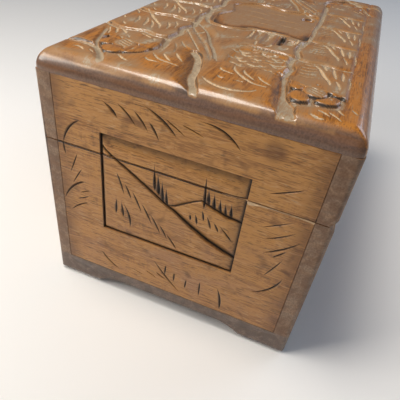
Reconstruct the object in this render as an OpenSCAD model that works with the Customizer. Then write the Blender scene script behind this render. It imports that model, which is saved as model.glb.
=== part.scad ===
// Keepsake box of carved wood: a body on an arched base board and a lid on two brass butt hinges.
// The origin is on the table under the middle of the box. +X runs along the length, +Y points to
// the hinged back and +Z up. The box was glued up closed and sawn apart, which left the seam.

/* [Box] */
// Length over the two end faces
box_l = 266; // [220:1:360]
// Width from the front face to the back face
box_w = 160; // [130:1:220]
// Thickness of the front and back boards
side_t = 9.5; // [9:0.5:14]
// Thickness of the end boards, which stand between the front and back boards
end_t = 10; // [8:0.5:14]
// Thickness of the base board over its feet
base_t = 17; // [14:0.5:24]
// Height of the body's four boards above the base board
wall_h = 88.5; // [75:0.5:140]
// Saw kerf between the body and the lid
seam_gap = 0.5; // [0.4:0.1:1]
// Height of the lid's four rails
rail_h = 37.5; // [30:0.5:60]
// Thickness of the board on top of the lid
lid_top_t = 10.5; // [8:0.5:16]

/* [Edges] */
// Rounding of the four upright edges
edge_r = 3; // [1:0.5:5]
// Rounding of the lid's upper edge
lid_edge_r = 9.5; // [3:0.5:12]
// Rounding of the base board's lower edge
base_edge_r = 4.5; // [1:0.5:6]
// Least flat that is left beside a rounding
edge_flat = 0.5; // [0.3:0.1:1]

/* [Feet] */
// Width of a foot, seen from the end
foot_end_w = 27; // [18:1:36]
// Width of a foot, seen from the front
foot_side_w = 40; // [24:1:60]
// Height of the arches between the feet
arch_h = 9; // [5:0.5:11]
// Length of the curve from a foot up to the flat of an arch
arch_run = 20; // [12:1:26]

/* [Carved panels] */
// Width of the sunk panel on an end face
end_panel_w = 81; // [50:1:100]
// How far the panel on an end face sits off the middle, towards the front
end_panel_shift = 3.5; // [0:0.5:8]
// Length of the sunk panel on the front face
front_panel_l = 158; // [80:1:180]
// How far the panels reach above the seam
panel_above = 13; // [5:0.5:22]
// How far the panels reach below the seam
panel_below = 52; // [30:0.5:62]
// Depth of the panels
panel_depth = 1.5; // [1:0.25:3]

/* [Lid relief] */
// Depth of the channels and of the ground round the blossoms on top of the lid
relief_depth = 2; // [1:0.25:3]
// Depth of the lake in the middle of the lid and of the bays beside it
lake_depth = 1.25; // [0.5:0.25:2]
// Depth of the hollows in the lake's banks
hollow_depth = 3.25; // [2:0.25:4]
// Width of the channels between the carved leaves
channel_w = 3.2; // [2:0.2:5]
// Radius of the ground round a larger blossom
large_blossom_r = 16.5; // [12:0.5:18]
// Radius of the ground round a smaller blossom
small_blossom_r = 15; // [10:0.5:16]
// Width of the ground between a blossom's petals
petal_gap = 1.2; // [0.8:0.1:2]
// How far the ground reaches past a blossom's middle towards the lake, as a share of its radius
ground_share = 0.4; // [0:0.1:1]

/* [Hinges] */
// Length of a hinge
hinge_l = 30; // [24:1:40]
// Distance from an end face to the hinge near it
hinge_inset = 40; // [24:1:56]
// Distance from the back face to the hinge axis
axis_inset = 3; // [2.5:0.25:3.5]
// Width of a leaf, from the hinge axis to its inner edge
leaf_w = 6; // [5.5:0.1:6]
// Thickness of a leaf
leaf_t = 1; // [0.8:0.1:1.2]
// Radius of the barrel
barrel_r = 1.8; // [1.6:0.1:2]
// Radius of the pin
pin_r = 0.85; // [0.7:0.05:0.95]
// Clearance round the pin in the barrel
pin_fit = 0.05; // [0.03:0.01:0.08]
// How far the pin stands out of the barrel at each end
pin_end = 0.3; // [0.2:0.05:0.5]
// Number of knuckles in a barrel
knuckles = 5; // [3:2:7]
// Gap between two knuckles
knuckle_gap = 0.2; // [0.1:0.05:0.3]
// Clearance between the barrel and the wood
barrel_clear = 0.3; // [0.25:0.05:0.5]
// Clearance at the edges of a leaf in its mortise
leaf_fit = 0.1; // [0.05:0.05:0.2]
// Angle of each bevel at the back of the seam, half of the lid's opening
bevel_angle = 50; // [45:1:55]

/* [Screws] */
// Screws in a leaf
leaf_screws = 3; // [2:1:4]
// Distance from a leaf's end to its nearest screw
screw_inset = 4; // [3:0.5:6]
// Length of a screw
screw_l = 8; // [6:0.5:12]
// Radius of a screw's shank
screw_r = 0.7; // [0.5:0.05:0.8]
// Radius of a screw's head
screw_head_r = 1.3; // [1.1:0.05:1.4]
// Height of a screw's countersunk head
screw_head_h = 0.6; // [0.4:0.05:0.7]
// Width and depth of the slot in a screw's head
screw_slot = 0.35; // [0.2:0.05:0.4]
// Clearance round a screw
screw_fit = 0.03; // [0.02:0.01:0.06]

/* [Nails] */
// Length of a nail
nail_l = 24; // [20:1:34]
// Radius of a nail's shank
nail_r = 0.6; // [0.5:0.05:0.9]
// Radius of a nail's head
nail_head_r = 1.1; // [1:0.05:1.5]
// Thickness of a nail's head
nail_head_t = 0.5; // [0.3:0.05:0.8]
// How deep a nail's head is set below the surface
nail_set = 0.4; // [0:0.1:0.8]
// Clearance round a nail
nail_fit = 0.03; // [0.02:0.01:0.06]
// Nails at each corner of the body
body_corner_count = 3; // [2:1:5]
// Nails at each corner of the lid
lid_corner_count = 2; // [2:1:3]
// Distance from a board's edge to its nearest corner nail
nail_inset = 9; // [7:0.5:12]
// Distance between the base nails under an end board
base_nail_pitch = 56; // [30:1:70]
// Nails up through the base board into each long board
base_side_count = 3; // [2:1:5]
// Distance between the base nails under a long board
base_side_pitch = 66; // [20:1:70]

/* [Hidden] */
$fn = 48;

// Heights above the table
wall_z = base_t;
body_top_z = wall_z + wall_h;
axis_z = body_top_z + seam_gap / 2;
rail_z = body_top_z + seam_gap;
lid_top_z = rail_z + rail_h;
box_h = lid_top_z + lid_top_t;

// The hinge line
axis_y = box_w / 2 - axis_inset;
hinge_x = box_l / 2 - hinge_inset - hinge_l / 2;
knuckle_pitch = hinge_l / knuckles;
plate_w = leaf_w - barrel_r - barrel_clear;
screw_y = -leaf_w + plate_w / 2;
screw_pitch = (hinge_l - 2 * screw_inset) / (leaf_screws - 1);
// The leaves lie on each side of the axis, flush with the sawn faces
leaf_face = seam_gap / 2;

// The relief is drawn in plan for a lid of this length and width, and stretched to the box's own
relief_l = 266;
relief_w = 160;
large_blossom = [97.5, -47.3];
small_blossom = [101, 52.2];
front_leaf_pitch = 40.4;
back_leaf_pitch = 39.6;
leaves = 4;
front_channel = [
    [92, -31.5], [74, -34.5], [60, -32.5], [44, -31.5], [22, -35.5], [8, -34.5], [-6, -36],
    [-20, -34], [-36, -36.5], [-50, -34], [-66, -36.5], [-92, -33]
];
back_channel = [
    [91, 36], [78, 36.5], [66, 34], [57, 36.5], [44, 33.5], [24, 36], [-10, 36.5], [-60, 36],
    [-92, 33]
];
front_leaf_edge = [[70, -80], [76, -68], [77.5, -60], [74, -48.5], [76.5, -42], [74.5, -35]];
back_leaf_edge = [[60.5, 36], [62.5, 42], [60.5, 50], [62, 58], [61, 68]];
long_leaf_edge = [[90, -2], [76, -7.5], [60, -15.5], [49, -21], [38, -31]];
end_channel = [[136, 4.5], [127, 2], [117, -3], [105, -4], [94, -7.5], [90, -11]];
end_ground = [
    [136, 50], [131, 43], [125, 38.5], [110, 37], [88, 33.5], [86, 37], [101, 43], [118, 46]
];
corner_ground = [
    [109.5, -82], [109.5, -59], [116, -49.5], [127, -44], [121, -53], [116, -62], [115, -82]
];
lake = [
    [20, -29], [29, -21], [30.5, -14], [27, -5], [22, -0.5], [21.5, 24], [24.5, 26], [23.5, 32],
    [-40, 32], [-46, 24], [-42, 8], [-47, -6], [-30, -28], [-12, -24], [4, -29]
];
// The deep water under the lake's near bank and the hollow in its far bank
bank_hollows = [
    [[22, -25], [28, -21], [29.5, -14], [26, -5.5], [20, -1.5], [16, -3], [20.5, -9], [22, -16]],
    [[23.5, 26], [22.5, 32], [15, 32], [15, 26]],
    [[-27, 23], [-27, 29.5], [-38, 29.5], [-38, 25]]
];
// The bays between the pavilion's posts, and the open one
bays = [
    [[50, 10.5], [50, 16], [26, 16], [26, 10.5]],
    [[46, 4.2], [46, 8.2], [26, 8.2], [26, 4.2]]
];
open_bay = [[45, 20.5], [45, 24], [28, 24], [28, 20.5]];

// Width between the long boards, and the mid planes of the end boards and of the long boards
inner_w = box_w - 2 * side_t;
end_mid_x = box_l / 2 - end_t / 2;
side_mid_y = box_w / 2 - side_t / 2;
lid_round = min(lid_edge_r, lid_top_t - edge_flat);
base_round = min(base_edge_r, arch_h - edge_flat);
// How far cutting shapes reach past what they cut
past = 1;
tint_wall = "#A5713F";
tint_lid = "#A8662C";
tint_base = "#6F5641";
tint_brass = "#B5923F";
tint_steel = "#5B5550";

// Plan of the whole box with its upright edges rounded, from the height low to the height high
module plan(low, high) {
    translate([0, 0, low]) {
        linear_extrude(high - low) {
            square([box_l - 2 * edge_r, box_w], center = true);
            square([box_l, box_w - 2 * edge_r], center = true);
            for (x = [-1, 1], y = [-1, 1]) {
                translate([x * (box_l / 2 - edge_r), y * (box_w / 2 - edge_r)]) circle(r = edge_r);
            }
        }
    }
}

// Upright section of a slab: square at the bottom and rounded at its two upper corners
module slab_section(width, height, r) {
    translate([-width / 2, 0]) square([width, height - r]);
    translate([-width / 2 + r, 0]) square([width - 2 * r, height]);
    for (side = [-1, 1]) {
        translate([side * (width / 2 - r), height - r]) circle(r = r);
    }
}

// Slab over the whole plan, with a rounded upper edge on all four sides
module slab(height, r) {
    intersection() {
        plan(0, height);
        translate([-box_l / 2, 0, 0]) {
            rotate([90, 0, 90]) linear_extrude(box_l) slab_section(box_w, height, r);
        }
        translate([0, box_w / 2, 0]) {
            rotate([90, 0, 0]) linear_extrude(box_w) slab_section(box_l, height, r);
        }
    }
}

// Points of the relief's plan, moved to where they lie on this box
function fitted(points) = [for (p = points) [p[0] * box_l / relief_l, p[1] * box_w / relief_w]];

// Direction of a line of points at one of them, halfway between the two pieces that meet there
function unit(v) = v / norm(v);
function piece(points, i) = i < 0 || i > len(points) - 2 ? [0, 0] : unit(points[i + 1] - points[i]);
function heading(points, i) = unit(piece(points, i - 1) + piece(points, i));

// The same line, moved to its left by a gap
function beside(points, gap) = [
    for (i = [0 : len(points) - 1]) points[i] + gap * [-heading(points, i)[1], heading(points, i)[0]]
];

function reversed(points) = [for (i = [1 : len(points)]) points[len(points) - i]];

// Channel along a line of points, in plan
module channel(points) {
    line = fitted(points);
    polygon(concat(beside(line, channel_w / 2), reversed(beside(line, -channel_w / 2))));
}

// Ground on the outer side of a blossom, in plan, with its petals and its button left standing
module blossom(middle, ground_r, petals) {
    share = sin(180 / petals);
    petal_r = (share * (ground_r - petal_gap) - petal_gap / 2) / (1 + share);
    ring_r = ground_r - petal_gap - petal_r;
    translate(fitted([middle])[0]) {
        difference() {
            intersection() {
                circle(r = ground_r);
                translate([-ground_share * ground_r, -ground_r]) square([2 * ground_r, 2 * ground_r]);
            }
            circle(r = ring_r - petal_r - petal_gap);
            for (i = [0 : petals - 1]) {
                rotate(i * 360 / petals) translate([ring_r, 0]) circle(r = petal_r);
            }
        }
    }
}

// What is cut down round the leaves and the blossoms at the right end of the lid, in plan
module end_relief() {
    channel(end_channel);
    channel(long_leaf_edge);
    polygon(fitted(corner_ground));
    blossom(large_blossom, large_blossom_r, 6);
    difference() {
        polygon(fitted(end_ground));
        translate(fitted([small_blossom])[0]) circle(r = small_blossom_r - petal_gap);
    }
    blossom(small_blossom, small_blossom_r, 5);
}

// What is cut down round the leaves all along the lid, in plan
module leaf_relief() {
    end_relief();
    rotate(180) end_relief();
    channel(front_channel);
    channel(back_channel);
    for (i = [0 : leaves - 1]) {
        channel([for (p = front_leaf_edge) p - [i * front_leaf_pitch, 0]]);
        channel([for (p = back_leaf_edge) p - [i * back_leaf_pitch, 0]]);
    }
    polygon(fitted(open_bay));
}

// Cuts a plan down into the top of the lid
module lid_cut(depth) {
    translate([0, 0, box_h - depth]) linear_extrude(depth + past) children();
}

// Section of a low arch: a flat crown that curves down to the feet on both sides
module arch_section(opening) {
    arc_r = (arch_run * arch_run + arch_h * arch_h) / (2 * arch_h);
    intersection() {
        translate([-opening / 2, -past]) square([opening, arch_h + past]);
        union() {
            translate([-opening / 2 + arch_run, -past]) square([opening - 2 * arch_run, arch_h + past]);
            for (side = [-1, 1]) {
                translate([side * (opening / 2 - arch_run), arch_h - arc_r]) circle(r = arc_r, $fn = 96);
            }
        }
    }
}

// Nail along +Z, its head below the origin's plane by the set depth. The hole for it, with a fit,
// is open below its head as far as a foot stands down.
module nail(fit = 0) {
    translate([0, 0, nail_set]) cylinder(h = nail_head_t, r = nail_head_r + fit);
    translate([0, 0, nail_set]) cylinder(h = nail_l - nail_set, r = nail_r + fit);
    if (fit > 0) {
        translate([0, 0, -arch_h - past]) cylinder(h = arch_h + past + nail_set, r = nail_head_r + fit);
    }
}

// The corner nails of the body or of the lid, through the long boards into the end boards
module corner_nails(low, high, count, fit = 0) {
    pitch = (high - low - 2 * nail_inset) / (count - 1);
    for (x = [-1, 1], y = [-1, 1], i = [0 : count - 1]) {
        translate([x * end_mid_x, y * box_w / 2, low + nail_inset + i * pitch]) {
            rotate([y * 90, 0, 0]) nail(fit);
        }
    }
}

// The nails up through the base board into the four boards of the body
module base_nail_set(fit = 0) {
    for (x = [-1, 1], y = [-1, 1]) {
        translate([x * end_mid_x, y * base_nail_pitch / 2, arch_h]) nail(fit);
    }
    for (y = [-1, 1], i = [0 : base_side_count - 1]) {
        translate([(i - (base_side_count - 1) / 2) * base_side_pitch, y * side_mid_y, arch_h]) nail(fit);
    }
}

// Runs its children once for each hinge, with the origin on the hinge axis
module at_hinges() {
    for (side = [-1, 1]) at_hinge(side) children();
}

module at_hinge(side) {
    translate([side * hinge_x, axis_y, axis_z]) children();
}

// Countersunk screw down from the face of a leaf; the fit widens it into its own hole
module screw(fit = 0) {
    shank_r = screw_r + fit;
    head_r = screw_head_r + fit;
    difference() {
        union() {
            translate([0, 0, -screw_head_h]) cylinder(h = screw_head_h, r1 = shank_r, r2 = head_r);
            translate([0, 0, -screw_l + screw_r - fit]) cylinder(h = screw_l - screw_r + fit, r = shank_r);
            translate([0, 0, -screw_l - fit]) cylinder(h = screw_r, r1 = fit + screw_r / 4, r2 = shank_r);
        }
        if (fit == 0) {
            translate([-screw_head_r - past, -screw_slot / 2, -screw_slot]) {
                cube([2 * screw_head_r + 2 * past, screw_slot, screw_slot + past]);
            }
        }
    }
}

// The screws of one body leaf, with the origin on the hinge axis
module leaf_screw_set(fit = 0) {
    for (i = [0 : leaf_screws - 1]) {
        translate([-hinge_l / 2 + screw_inset + i * screw_pitch, screw_y, -leaf_face]) screw(fit);
    }
}

// Bar along X through the hinge axis
module axle(length, r) {
    translate([-length / 2, 0, 0]) rotate([0, 90, 0]) cylinder(h = length, r = r);
}

// Body leaf of a butt hinge. The first knuckle is number 0 for the body and 1 for the lid.
module leaf(first) {
    knuckle_l = knuckle_pitch - knuckle_gap;
    difference() {
        union() {
            translate([-hinge_l / 2, -leaf_w, -leaf_face - leaf_t]) cube([hinge_l, plate_w, leaf_t]);
            for (i = [first : 2 : knuckles - 1]) {
                translate([-hinge_l / 2 + (i + 0.5) * knuckle_pitch, 0, 0]) {
                    axle(knuckle_l, barrel_r);
                    translate([-knuckle_l / 2, -leaf_w + plate_w / 2, -leaf_face - leaf_t]) {
                        cube([knuckle_l, leaf_w - plate_w / 2, leaf_t]);
                    }
                }
            }
        }
        axle(hinge_l + 2 * past, pin_r + pin_fit);
        leaf_screw_set(screw_fit);
    }
}

// What the body's back board gives up to the hinges: bevel, mortise, barrel groove and pilot holes
module hinge_cuts() {
    bevel_y = axis_inset + past;
    translate([-box_l / 2 - past, axis_y, axis_z]) {
        rotate([90, 0, 90]) {
            linear_extrude(box_l + 2 * past) {
                polygon([
                    [0, -leaf_face],
                    [bevel_y, -leaf_face - bevel_y * tan(bevel_angle)],
                    [bevel_y, past],
                    [0, past]
                ]);
            }
        }
    }
    at_hinges() {
        axle(hinge_l + 4 * pin_end, barrel_r + barrel_clear);
        translate([-hinge_l / 2 - leaf_fit, -leaf_w - leaf_fit, -leaf_face - leaf_t]) {
            cube([hinge_l + 2 * leaf_fit, leaf_w + leaf_fit, leaf_t + leaf_face + past]);
        }
        leaf_screw_set(screw_fit);
    }
}

// Turns what belongs to the body over the seam, so that it belongs to the lid
module over_seam() {
    translate([0, 0, 2 * axis_z]) mirror([0, 0, 1]) children();
}

// The sunk panels, cut from the outside
module panel_cuts() {
    for (side = [-1, 1]) {
        translate([side * (box_l / 2 + past - (panel_depth + past) / 2), -end_panel_shift, 0]) {
            translate([-(panel_depth + past) / 2, -end_panel_w / 2, axis_z - panel_below]) {
                cube([panel_depth + past, end_panel_w, panel_below + panel_above]);
            }
        }
    }
    translate([-front_panel_l / 2, -box_w / 2 - past, axis_z - panel_below]) {
        cube([front_panel_l, panel_depth + past, panel_below + panel_above]);
    }
}

// Board across an end, between the long boards, from the height low to the height high
module end_piece(side, low, high) {
    difference() {
        translate([side * end_mid_x - end_t / 2, -inner_w / 2, low]) cube([end_t, inner_w, high - low]);
        panel_cuts();
        body_nail_holes();
        corner_nails(rail_z, lid_top_z, lid_corner_count, nail_fit);
    }
}

// Long board over the full length, at the front (-1) or the back (1), with its outer corners rounded
module side_piece(side, low, high) {
    difference() {
        intersection() {
            plan(low, high);
            translate([-box_l / 2, side * side_mid_y - side_t / 2, low]) cube([box_l, side_t, high - low]);
        }
        panel_cuts();
        body_nail_holes();
        corner_nails(rail_z, lid_top_z, lid_corner_count, nail_fit);
    }
}

module body_nail_holes() {
    corner_nails(wall_z, body_top_z, body_corner_count, nail_fit);
    base_nail_set(nail_fit);
}

module base_board() {
    color(tint_base) {
        difference() {
            translate([0, 0, base_t]) mirror([0, 0, 1]) slab(base_t, base_round);
            translate([-box_l / 2 - past, 0, 0]) {
                rotate([90, 0, 90]) linear_extrude(box_l + 2 * past) arch_section(box_w - 2 * foot_end_w);
            }
            translate([0, box_w / 2 + past, 0]) {
                rotate([90, 0, 0]) linear_extrude(box_w + 2 * past) arch_section(box_l - 2 * foot_side_w);
            }
            base_nail_set(nail_fit);
        }
    }
}

module front_board() { color(tint_wall) side_piece(-1, wall_z, body_top_z); }

module back_board() {
    color(tint_wall) {
        difference() {
            side_piece(1, wall_z, body_top_z);
            hinge_cuts();
        }
    }
}

module left_end_board() { color(tint_wall) end_piece(-1, wall_z, body_top_z); }

module right_end_board() { color(tint_wall) end_piece(1, wall_z, body_top_z); }

module lid_top_board() {
    color(tint_lid) {
        difference() {
            translate([0, 0, lid_top_z]) slab(lid_top_t, lid_round);
            lid_cut(relief_depth) leaf_relief();
            lid_cut(lake_depth) {
                polygon(fitted(lake));
                for (bay = bays) polygon(fitted(bay));
            }
            lid_cut(hollow_depth) {
                for (hollow = bank_hollows) polygon(fitted(hollow));
            }
        }
    }
}

module lid_front_rail() { color(tint_wall) side_piece(-1, rail_z, lid_top_z); }

module lid_back_rail() {
    color(tint_wall) {
        difference() {
            side_piece(1, rail_z, lid_top_z);
            over_seam() hinge_cuts();
        }
    }
}

module lid_left_rail() { color(tint_wall) end_piece(-1, rail_z, lid_top_z); }

module lid_right_rail() { color(tint_wall) end_piece(1, rail_z, lid_top_z); }

module hinge_body_leaf(side) { color(tint_brass) at_hinge(side) leaf(0); }

module hinge_lid_leaf(side) { color(tint_brass) over_seam() at_hinge(side) leaf(1); }

module hinge_pin(side) { color(tint_brass) at_hinge(side) axle(hinge_l + 2 * pin_end, pin_r); }

module body_hinge_screws() { color(tint_brass) at_hinges() leaf_screw_set(); }

module lid_hinge_screws() { color(tint_brass) over_seam() at_hinges() leaf_screw_set(); }

module base_nails() { color(tint_steel) base_nail_set(); }

module body_corner_nails() { color(tint_steel) corner_nails(wall_z, body_top_z, body_corner_count); }

module lid_corner_nails() { color(tint_steel) corner_nails(rail_z, lid_top_z, lid_corner_count); }

base_board();
front_board();
back_board();
left_end_board();
right_end_board();
lid_top_board();
lid_front_rail();
lid_back_rail();
lid_left_rail();
lid_right_rail();
hinge_body_leaf(-1);  // left_hinge_body_leaf
hinge_lid_leaf(-1);  // left_hinge_lid_leaf
hinge_pin(-1);  // left_hinge_pin
hinge_body_leaf(1);  // right_hinge_body_leaf
hinge_lid_leaf(1);  // right_hinge_lid_leaf
hinge_pin(1);  // right_hinge_pin
body_hinge_screws();
lid_hinge_screws();
base_nails();
body_corner_nails();
lid_corner_nails();
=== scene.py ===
"""Looks of a carved wooden keepsake box, built round its construction, which arrives as a fixed frame.

Lengths are in millimetres until a mesh is made. Faces are described by how far across and how far up
a point lies, as the carver sees them. The lid's top is carved in relief, the ends and the front with
single knife cuts, and the rest of the frame keeps its own shape under wood, brass and steel finishes.
"""

import logging
import math
from collections.abc import Sequence
from dataclasses import dataclass, field, replace
from enum import Enum

import bmesh
import bpy
import numpy as np
from mathutils import Matrix, Vector
from mathutils.geometry import delaunay_2d_cdt


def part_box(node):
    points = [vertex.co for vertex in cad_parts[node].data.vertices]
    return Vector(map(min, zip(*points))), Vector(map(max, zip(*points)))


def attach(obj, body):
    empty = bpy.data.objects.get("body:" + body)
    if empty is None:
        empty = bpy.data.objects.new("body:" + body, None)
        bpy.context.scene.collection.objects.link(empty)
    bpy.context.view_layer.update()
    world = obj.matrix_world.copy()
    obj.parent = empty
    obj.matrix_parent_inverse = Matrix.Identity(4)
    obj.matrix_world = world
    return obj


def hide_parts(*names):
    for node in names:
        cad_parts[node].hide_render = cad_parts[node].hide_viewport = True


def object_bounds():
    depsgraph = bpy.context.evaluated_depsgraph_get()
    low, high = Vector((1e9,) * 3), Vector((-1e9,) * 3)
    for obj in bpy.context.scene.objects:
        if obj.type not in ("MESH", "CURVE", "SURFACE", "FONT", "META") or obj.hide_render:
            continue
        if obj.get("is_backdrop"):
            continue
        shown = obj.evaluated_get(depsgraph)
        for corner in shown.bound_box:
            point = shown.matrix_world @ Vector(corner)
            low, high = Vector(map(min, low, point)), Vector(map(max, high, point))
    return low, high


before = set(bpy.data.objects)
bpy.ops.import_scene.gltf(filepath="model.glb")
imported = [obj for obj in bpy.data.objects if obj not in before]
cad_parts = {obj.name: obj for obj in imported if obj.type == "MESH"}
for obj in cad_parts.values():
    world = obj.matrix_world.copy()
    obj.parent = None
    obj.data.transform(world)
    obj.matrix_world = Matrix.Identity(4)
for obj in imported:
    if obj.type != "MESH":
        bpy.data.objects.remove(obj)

MM = 0.001
LOG = logging.getLogger("keepsake_box")
SOFTLY = {"interpolation_type": "SMOOTHSTEP"}

Tree = bpy.types.NodeTree
Socket = bpy.types.NodeSocket
Material = bpy.types.Material
Mesh = bpy.types.Mesh
Point = tuple[float, float]
Colour = tuple[float, float, float, float]


def linear(code: str) -> Colour:
    """Turn an sRGB hex colour into linear light.

    Args:
        code: The colour as six hex digits, with or without a leading hash.

    Returns:
        Red, green, blue and an alpha of one.
    """
    digits = code.lstrip("#")
    parts = [int(digits[i:i + 2], 16) / 255 for i in (0, 2, 4)]
    light = [part / 12.92 if part <= 0.04045 else ((part + 0.055) / 1.055) ** 2.4 for part in parts]
    return (light[0], light[1], light[2], 1.0)


def add_node(tree: Tree, kind: str, inputs: dict | Sequence = (), **settings: object) -> bpy.types.Node:
    """Add a node with its settings, its values and its links.

    Args:
        tree: The tree that takes the node.
        kind: Blender's name for the node type.
        inputs: Values or output sockets, in the order of the inputs or by an input's name or number.
        settings: Properties of the node itself.

    Returns:
        The new node.
    """
    node = tree.nodes.new(kind)
    for name, value in settings.items():
        setattr(node, name, value)
    for key, value in inputs.items() if isinstance(inputs, dict) else enumerate(inputs):
        if isinstance(value, Socket):
            tree.links.new(value, node.inputs[key])
        else:
            node.inputs[key].default_value = value
    return node


def lay(tree: Tree, ground: Socket | Colour, coats: Sequence[tuple]) -> Socket:
    """Lay coats of colour over a ground, one after another.

    Args:
        tree: The material's nodes.
        ground: The colour underneath.
        coats: Each coat's colour and the value that rules it. A range of that value may follow, from no
            coat to a full one, and then the coat's least and greatest share.

    Returns:
        The colour that shows.
    """
    for colour, share, *limits in coats:
        if limits:
            share = add_node(tree, "ShaderNodeMapRange", (share, *limits), **SOFTLY).outputs[0]
        top = linear(colour) if isinstance(colour, str) else colour
        ground = add_node(tree, "ShaderNodeMix", {0: share, 6: ground, 7: top}, data_type="RGBA").outputs[2]
    return ground


class Grain(Enum):
    """The frame's axis that a board's grain runs along."""

    ALONG_X = 0
    ALONG_Y = 1


@dataclass(frozen=True)
class CamphorWood:
    """Camphor wood, planed and oiled or varnished by hand: fine wavy grain, short pores and a soft gloss.

    The eye sees a drying oil or a varnish on such wood, so the IOR is near theirs. The pores are drawn
    nearly twice as wide as real ones, which would be too fine to show. Sizes are across the grain.
    """

    name: str
    grain: Grain
    light: str
    middle: str
    dark: str
    end_grain: str
    cut: str
    rubbed: str
    dusty: str
    worn: str
    raw: str = "#C39A66"
    grime_from: float = 122.0
    roughness: float = 0.46
    coat: float = 0.15
    coat_roughness: float = 0.3
    blot: tuple[float, float, float] | None = None
    band_mm: float = 8.0
    fibre_mm: float = 0.6
    streak_mm: float = 1.3
    pore_mm: float = 0.6
    smudge_mm: float = 9.0
    ripple_mm: float = 1.8
    ior: float = 1.45

    def pattern(self, tree: Tree, place: Socket, across: float, along: float, detail: float,
                distortion: float) -> Socket:
        """Return a noise that is stretched along the grain.

        Args:
            tree: The material's nodes.
            place: The place, in metres.
            across: The pattern's size across the grain, in millimetres.
            along: Its size along the grain.
            detail: How many finer noises are added.
            distortion: How wavy it is.

        Returns:
            The noise, near a half on the whole.
        """
        scale = [1 / (across * MM)] * 3
        scale[self.grain.value] = 1 / (along * MM)
        stretched = add_node(tree, "ShaderNodeMapping", {"Vector": place, "Scale": scale}).outputs[0]
        inputs = {"Vector": stretched, "Scale": 1.0, "Detail": detail, "Roughness": 0.55,
                  "Distortion": distortion}
        return add_node(tree, "ShaderNodeTexNoise", inputs).outputs[0]

    def build(self) -> Material:
        """Make the material, with colour, roughness and fine relief from the wood's own structure.

        Returns:
            The new material.
        """
        material = bpy.data.materials.new(self.name)
        material.use_nodes = True
        tree = material.node_tree
        tree.nodes.clear()
        coordinates = add_node(tree, "ShaderNodeTexCoord")
        place = coordinates.outputs["Object"]
        bands = self.pattern(tree, place, self.band_mm, self.band_mm * 14, 4.0, 1.1)
        fibre = self.pattern(tree, place, self.fibre_mm, self.fibre_mm * 30, 3.0, 0.4)
        pores = self.pattern(tree, place, self.pore_mm, self.pore_mm * 11, 2.0, 0.2)
        ripple = self.pattern(tree, place, self.ripple_mm * 5, self.ripple_mm, 3.0, 0.8)
        streaks = self.pattern(tree, place, self.streak_mm, self.streak_mm * 6, 3.0, 0.9)
        tone = 0.0
        for part, share in ((bands, 0.36), (fibre, 0.3), (streaks, 0.26),
                            (self.curl(tree, place, ripple), 0.2)):
            tone = add_node(tree, "ShaderNodeMath", (part, share, tone), operation="MULTIPLY_ADD").outputs[0]
        flat = lay(tree, linear(self.dark), (
            (self.middle, tone, 0.41, 0.50), (self.light, tone, 0.49, 0.58),
            (self.rubbed, self.fade(tree, place)), (self.cut, pores, 0.55, 0.68, 0.0, 0.55),
            (self.dusty, streaks, 0.58, 0.70, 0.0, 0.3), (self.dark, self.smudges(tree, place)),
        ))
        cut, worn = (add_node(tree, "ShaderNodeAttribute", attribute_name=name).outputs["Fac"]
                     for name in ("cut", "worn"))
        uneven = add_node(tree, "ShaderNodeMapRange", (streaks, 0.38, 0.6, 0.74, 1.0), **SOFTLY).outputs[0]
        bare = add_node(tree, "ShaderNodeMath", (worn, uneven), operation="MULTIPLY").outputs[0]
        # The cut attribute lays painted shade, with some grime, into cuts, walls and hollow places.
        # The worn attribute lays bare wood, and on the lid also a painted highlight on the top edges of
        # walls.
        colour = lay(tree, self.with_end_grain(tree, coordinates, flat), (
            (self.dark, self.grime(tree, place, bands)), (self.cut, cut, 0.0, 0.9),
            (self.rubbed, bare, 0.05, 0.45), (self.dusty, bare, 0.42, 0.6), (self.worn, bare, 0.66, 0.92),
            (lay(tree, linear(self.raw), [(self.middle, tone, 0.4, 0.66, 0.75, 0.0)]),
             self.inside(tree, place)),
        ))
        limits = (0.35, 0.65, self.roughness - 0.07, self.roughness + 0.09)
        rough = add_node(tree, "ShaderNodeMapRange", (ripple, *limits), **SOFTLY).outputs[0]
        unvarnished = add_node(tree, "ShaderNodeMapRange", (bare, 0.5, 0.68), **SOFTLY).outputs[0]
        for part, share in ((cut, 0.25), (unvarnished, 0.3)):
            rough = add_node(tree, "ShaderNodeMath", (part, share, rough),
                             operation="MULTIPLY_ADD").outputs[0]
        limits = (0.5, 0.68, self.coat, self.coat * 0.1)
        coat = add_node(tree, "ShaderNodeMapRange", (bare, *limits), **SOFTLY).outputs[0]
        height = add_node(tree, "ShaderNodeMath", (pores, -0.5, fibre), operation="MULTIPLY_ADD").outputs[0]
        bump = add_node(tree, "ShaderNodeBump", {"Strength": 0.35, "Distance": 0.12 * MM, "Height": height})
        surface = add_node(tree, "ShaderNodeBsdfPrincipled", {
            "Base Color": colour, "Roughness": rough, "Normal": bump.outputs["Normal"], "IOR": self.ior,
            "Coat Weight": coat, "Coat Roughness": self.coat_roughness,
        })
        add_node(tree, "ShaderNodeOutputMaterial", {"Surface": surface.outputs[0]})
        return material

    def fade(self, tree: Tree, place: Socket) -> Socket:
        """Return how far handling has taken the oil from the wood: in slow patches, most of all low down.

        Args:
            tree: The material's nodes.
            place: The place, in metres.

        Returns:
            A share from 0 to 1.
        """
        slow = self.pattern(tree, place, self.band_mm * 3, self.band_mm * 5, 2.0, 0.8)
        patches = add_node(tree, "ShaderNodeMapRange", (slow, 0.38, 0.62, 0.3, 1.0), **SOFTLY).outputs[0]
        height = add_node(tree, "ShaderNodeSeparateXYZ", [place]).outputs[2]
        lower = add_node(tree, "ShaderNodeMapRange", (height, 20 * MM, 115 * MM, 0.75, 0.1),
                         **SOFTLY).outputs[0]
        return add_node(tree, "ShaderNodeMath", (patches, lower), operation="MULTIPLY").outputs[0]

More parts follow.
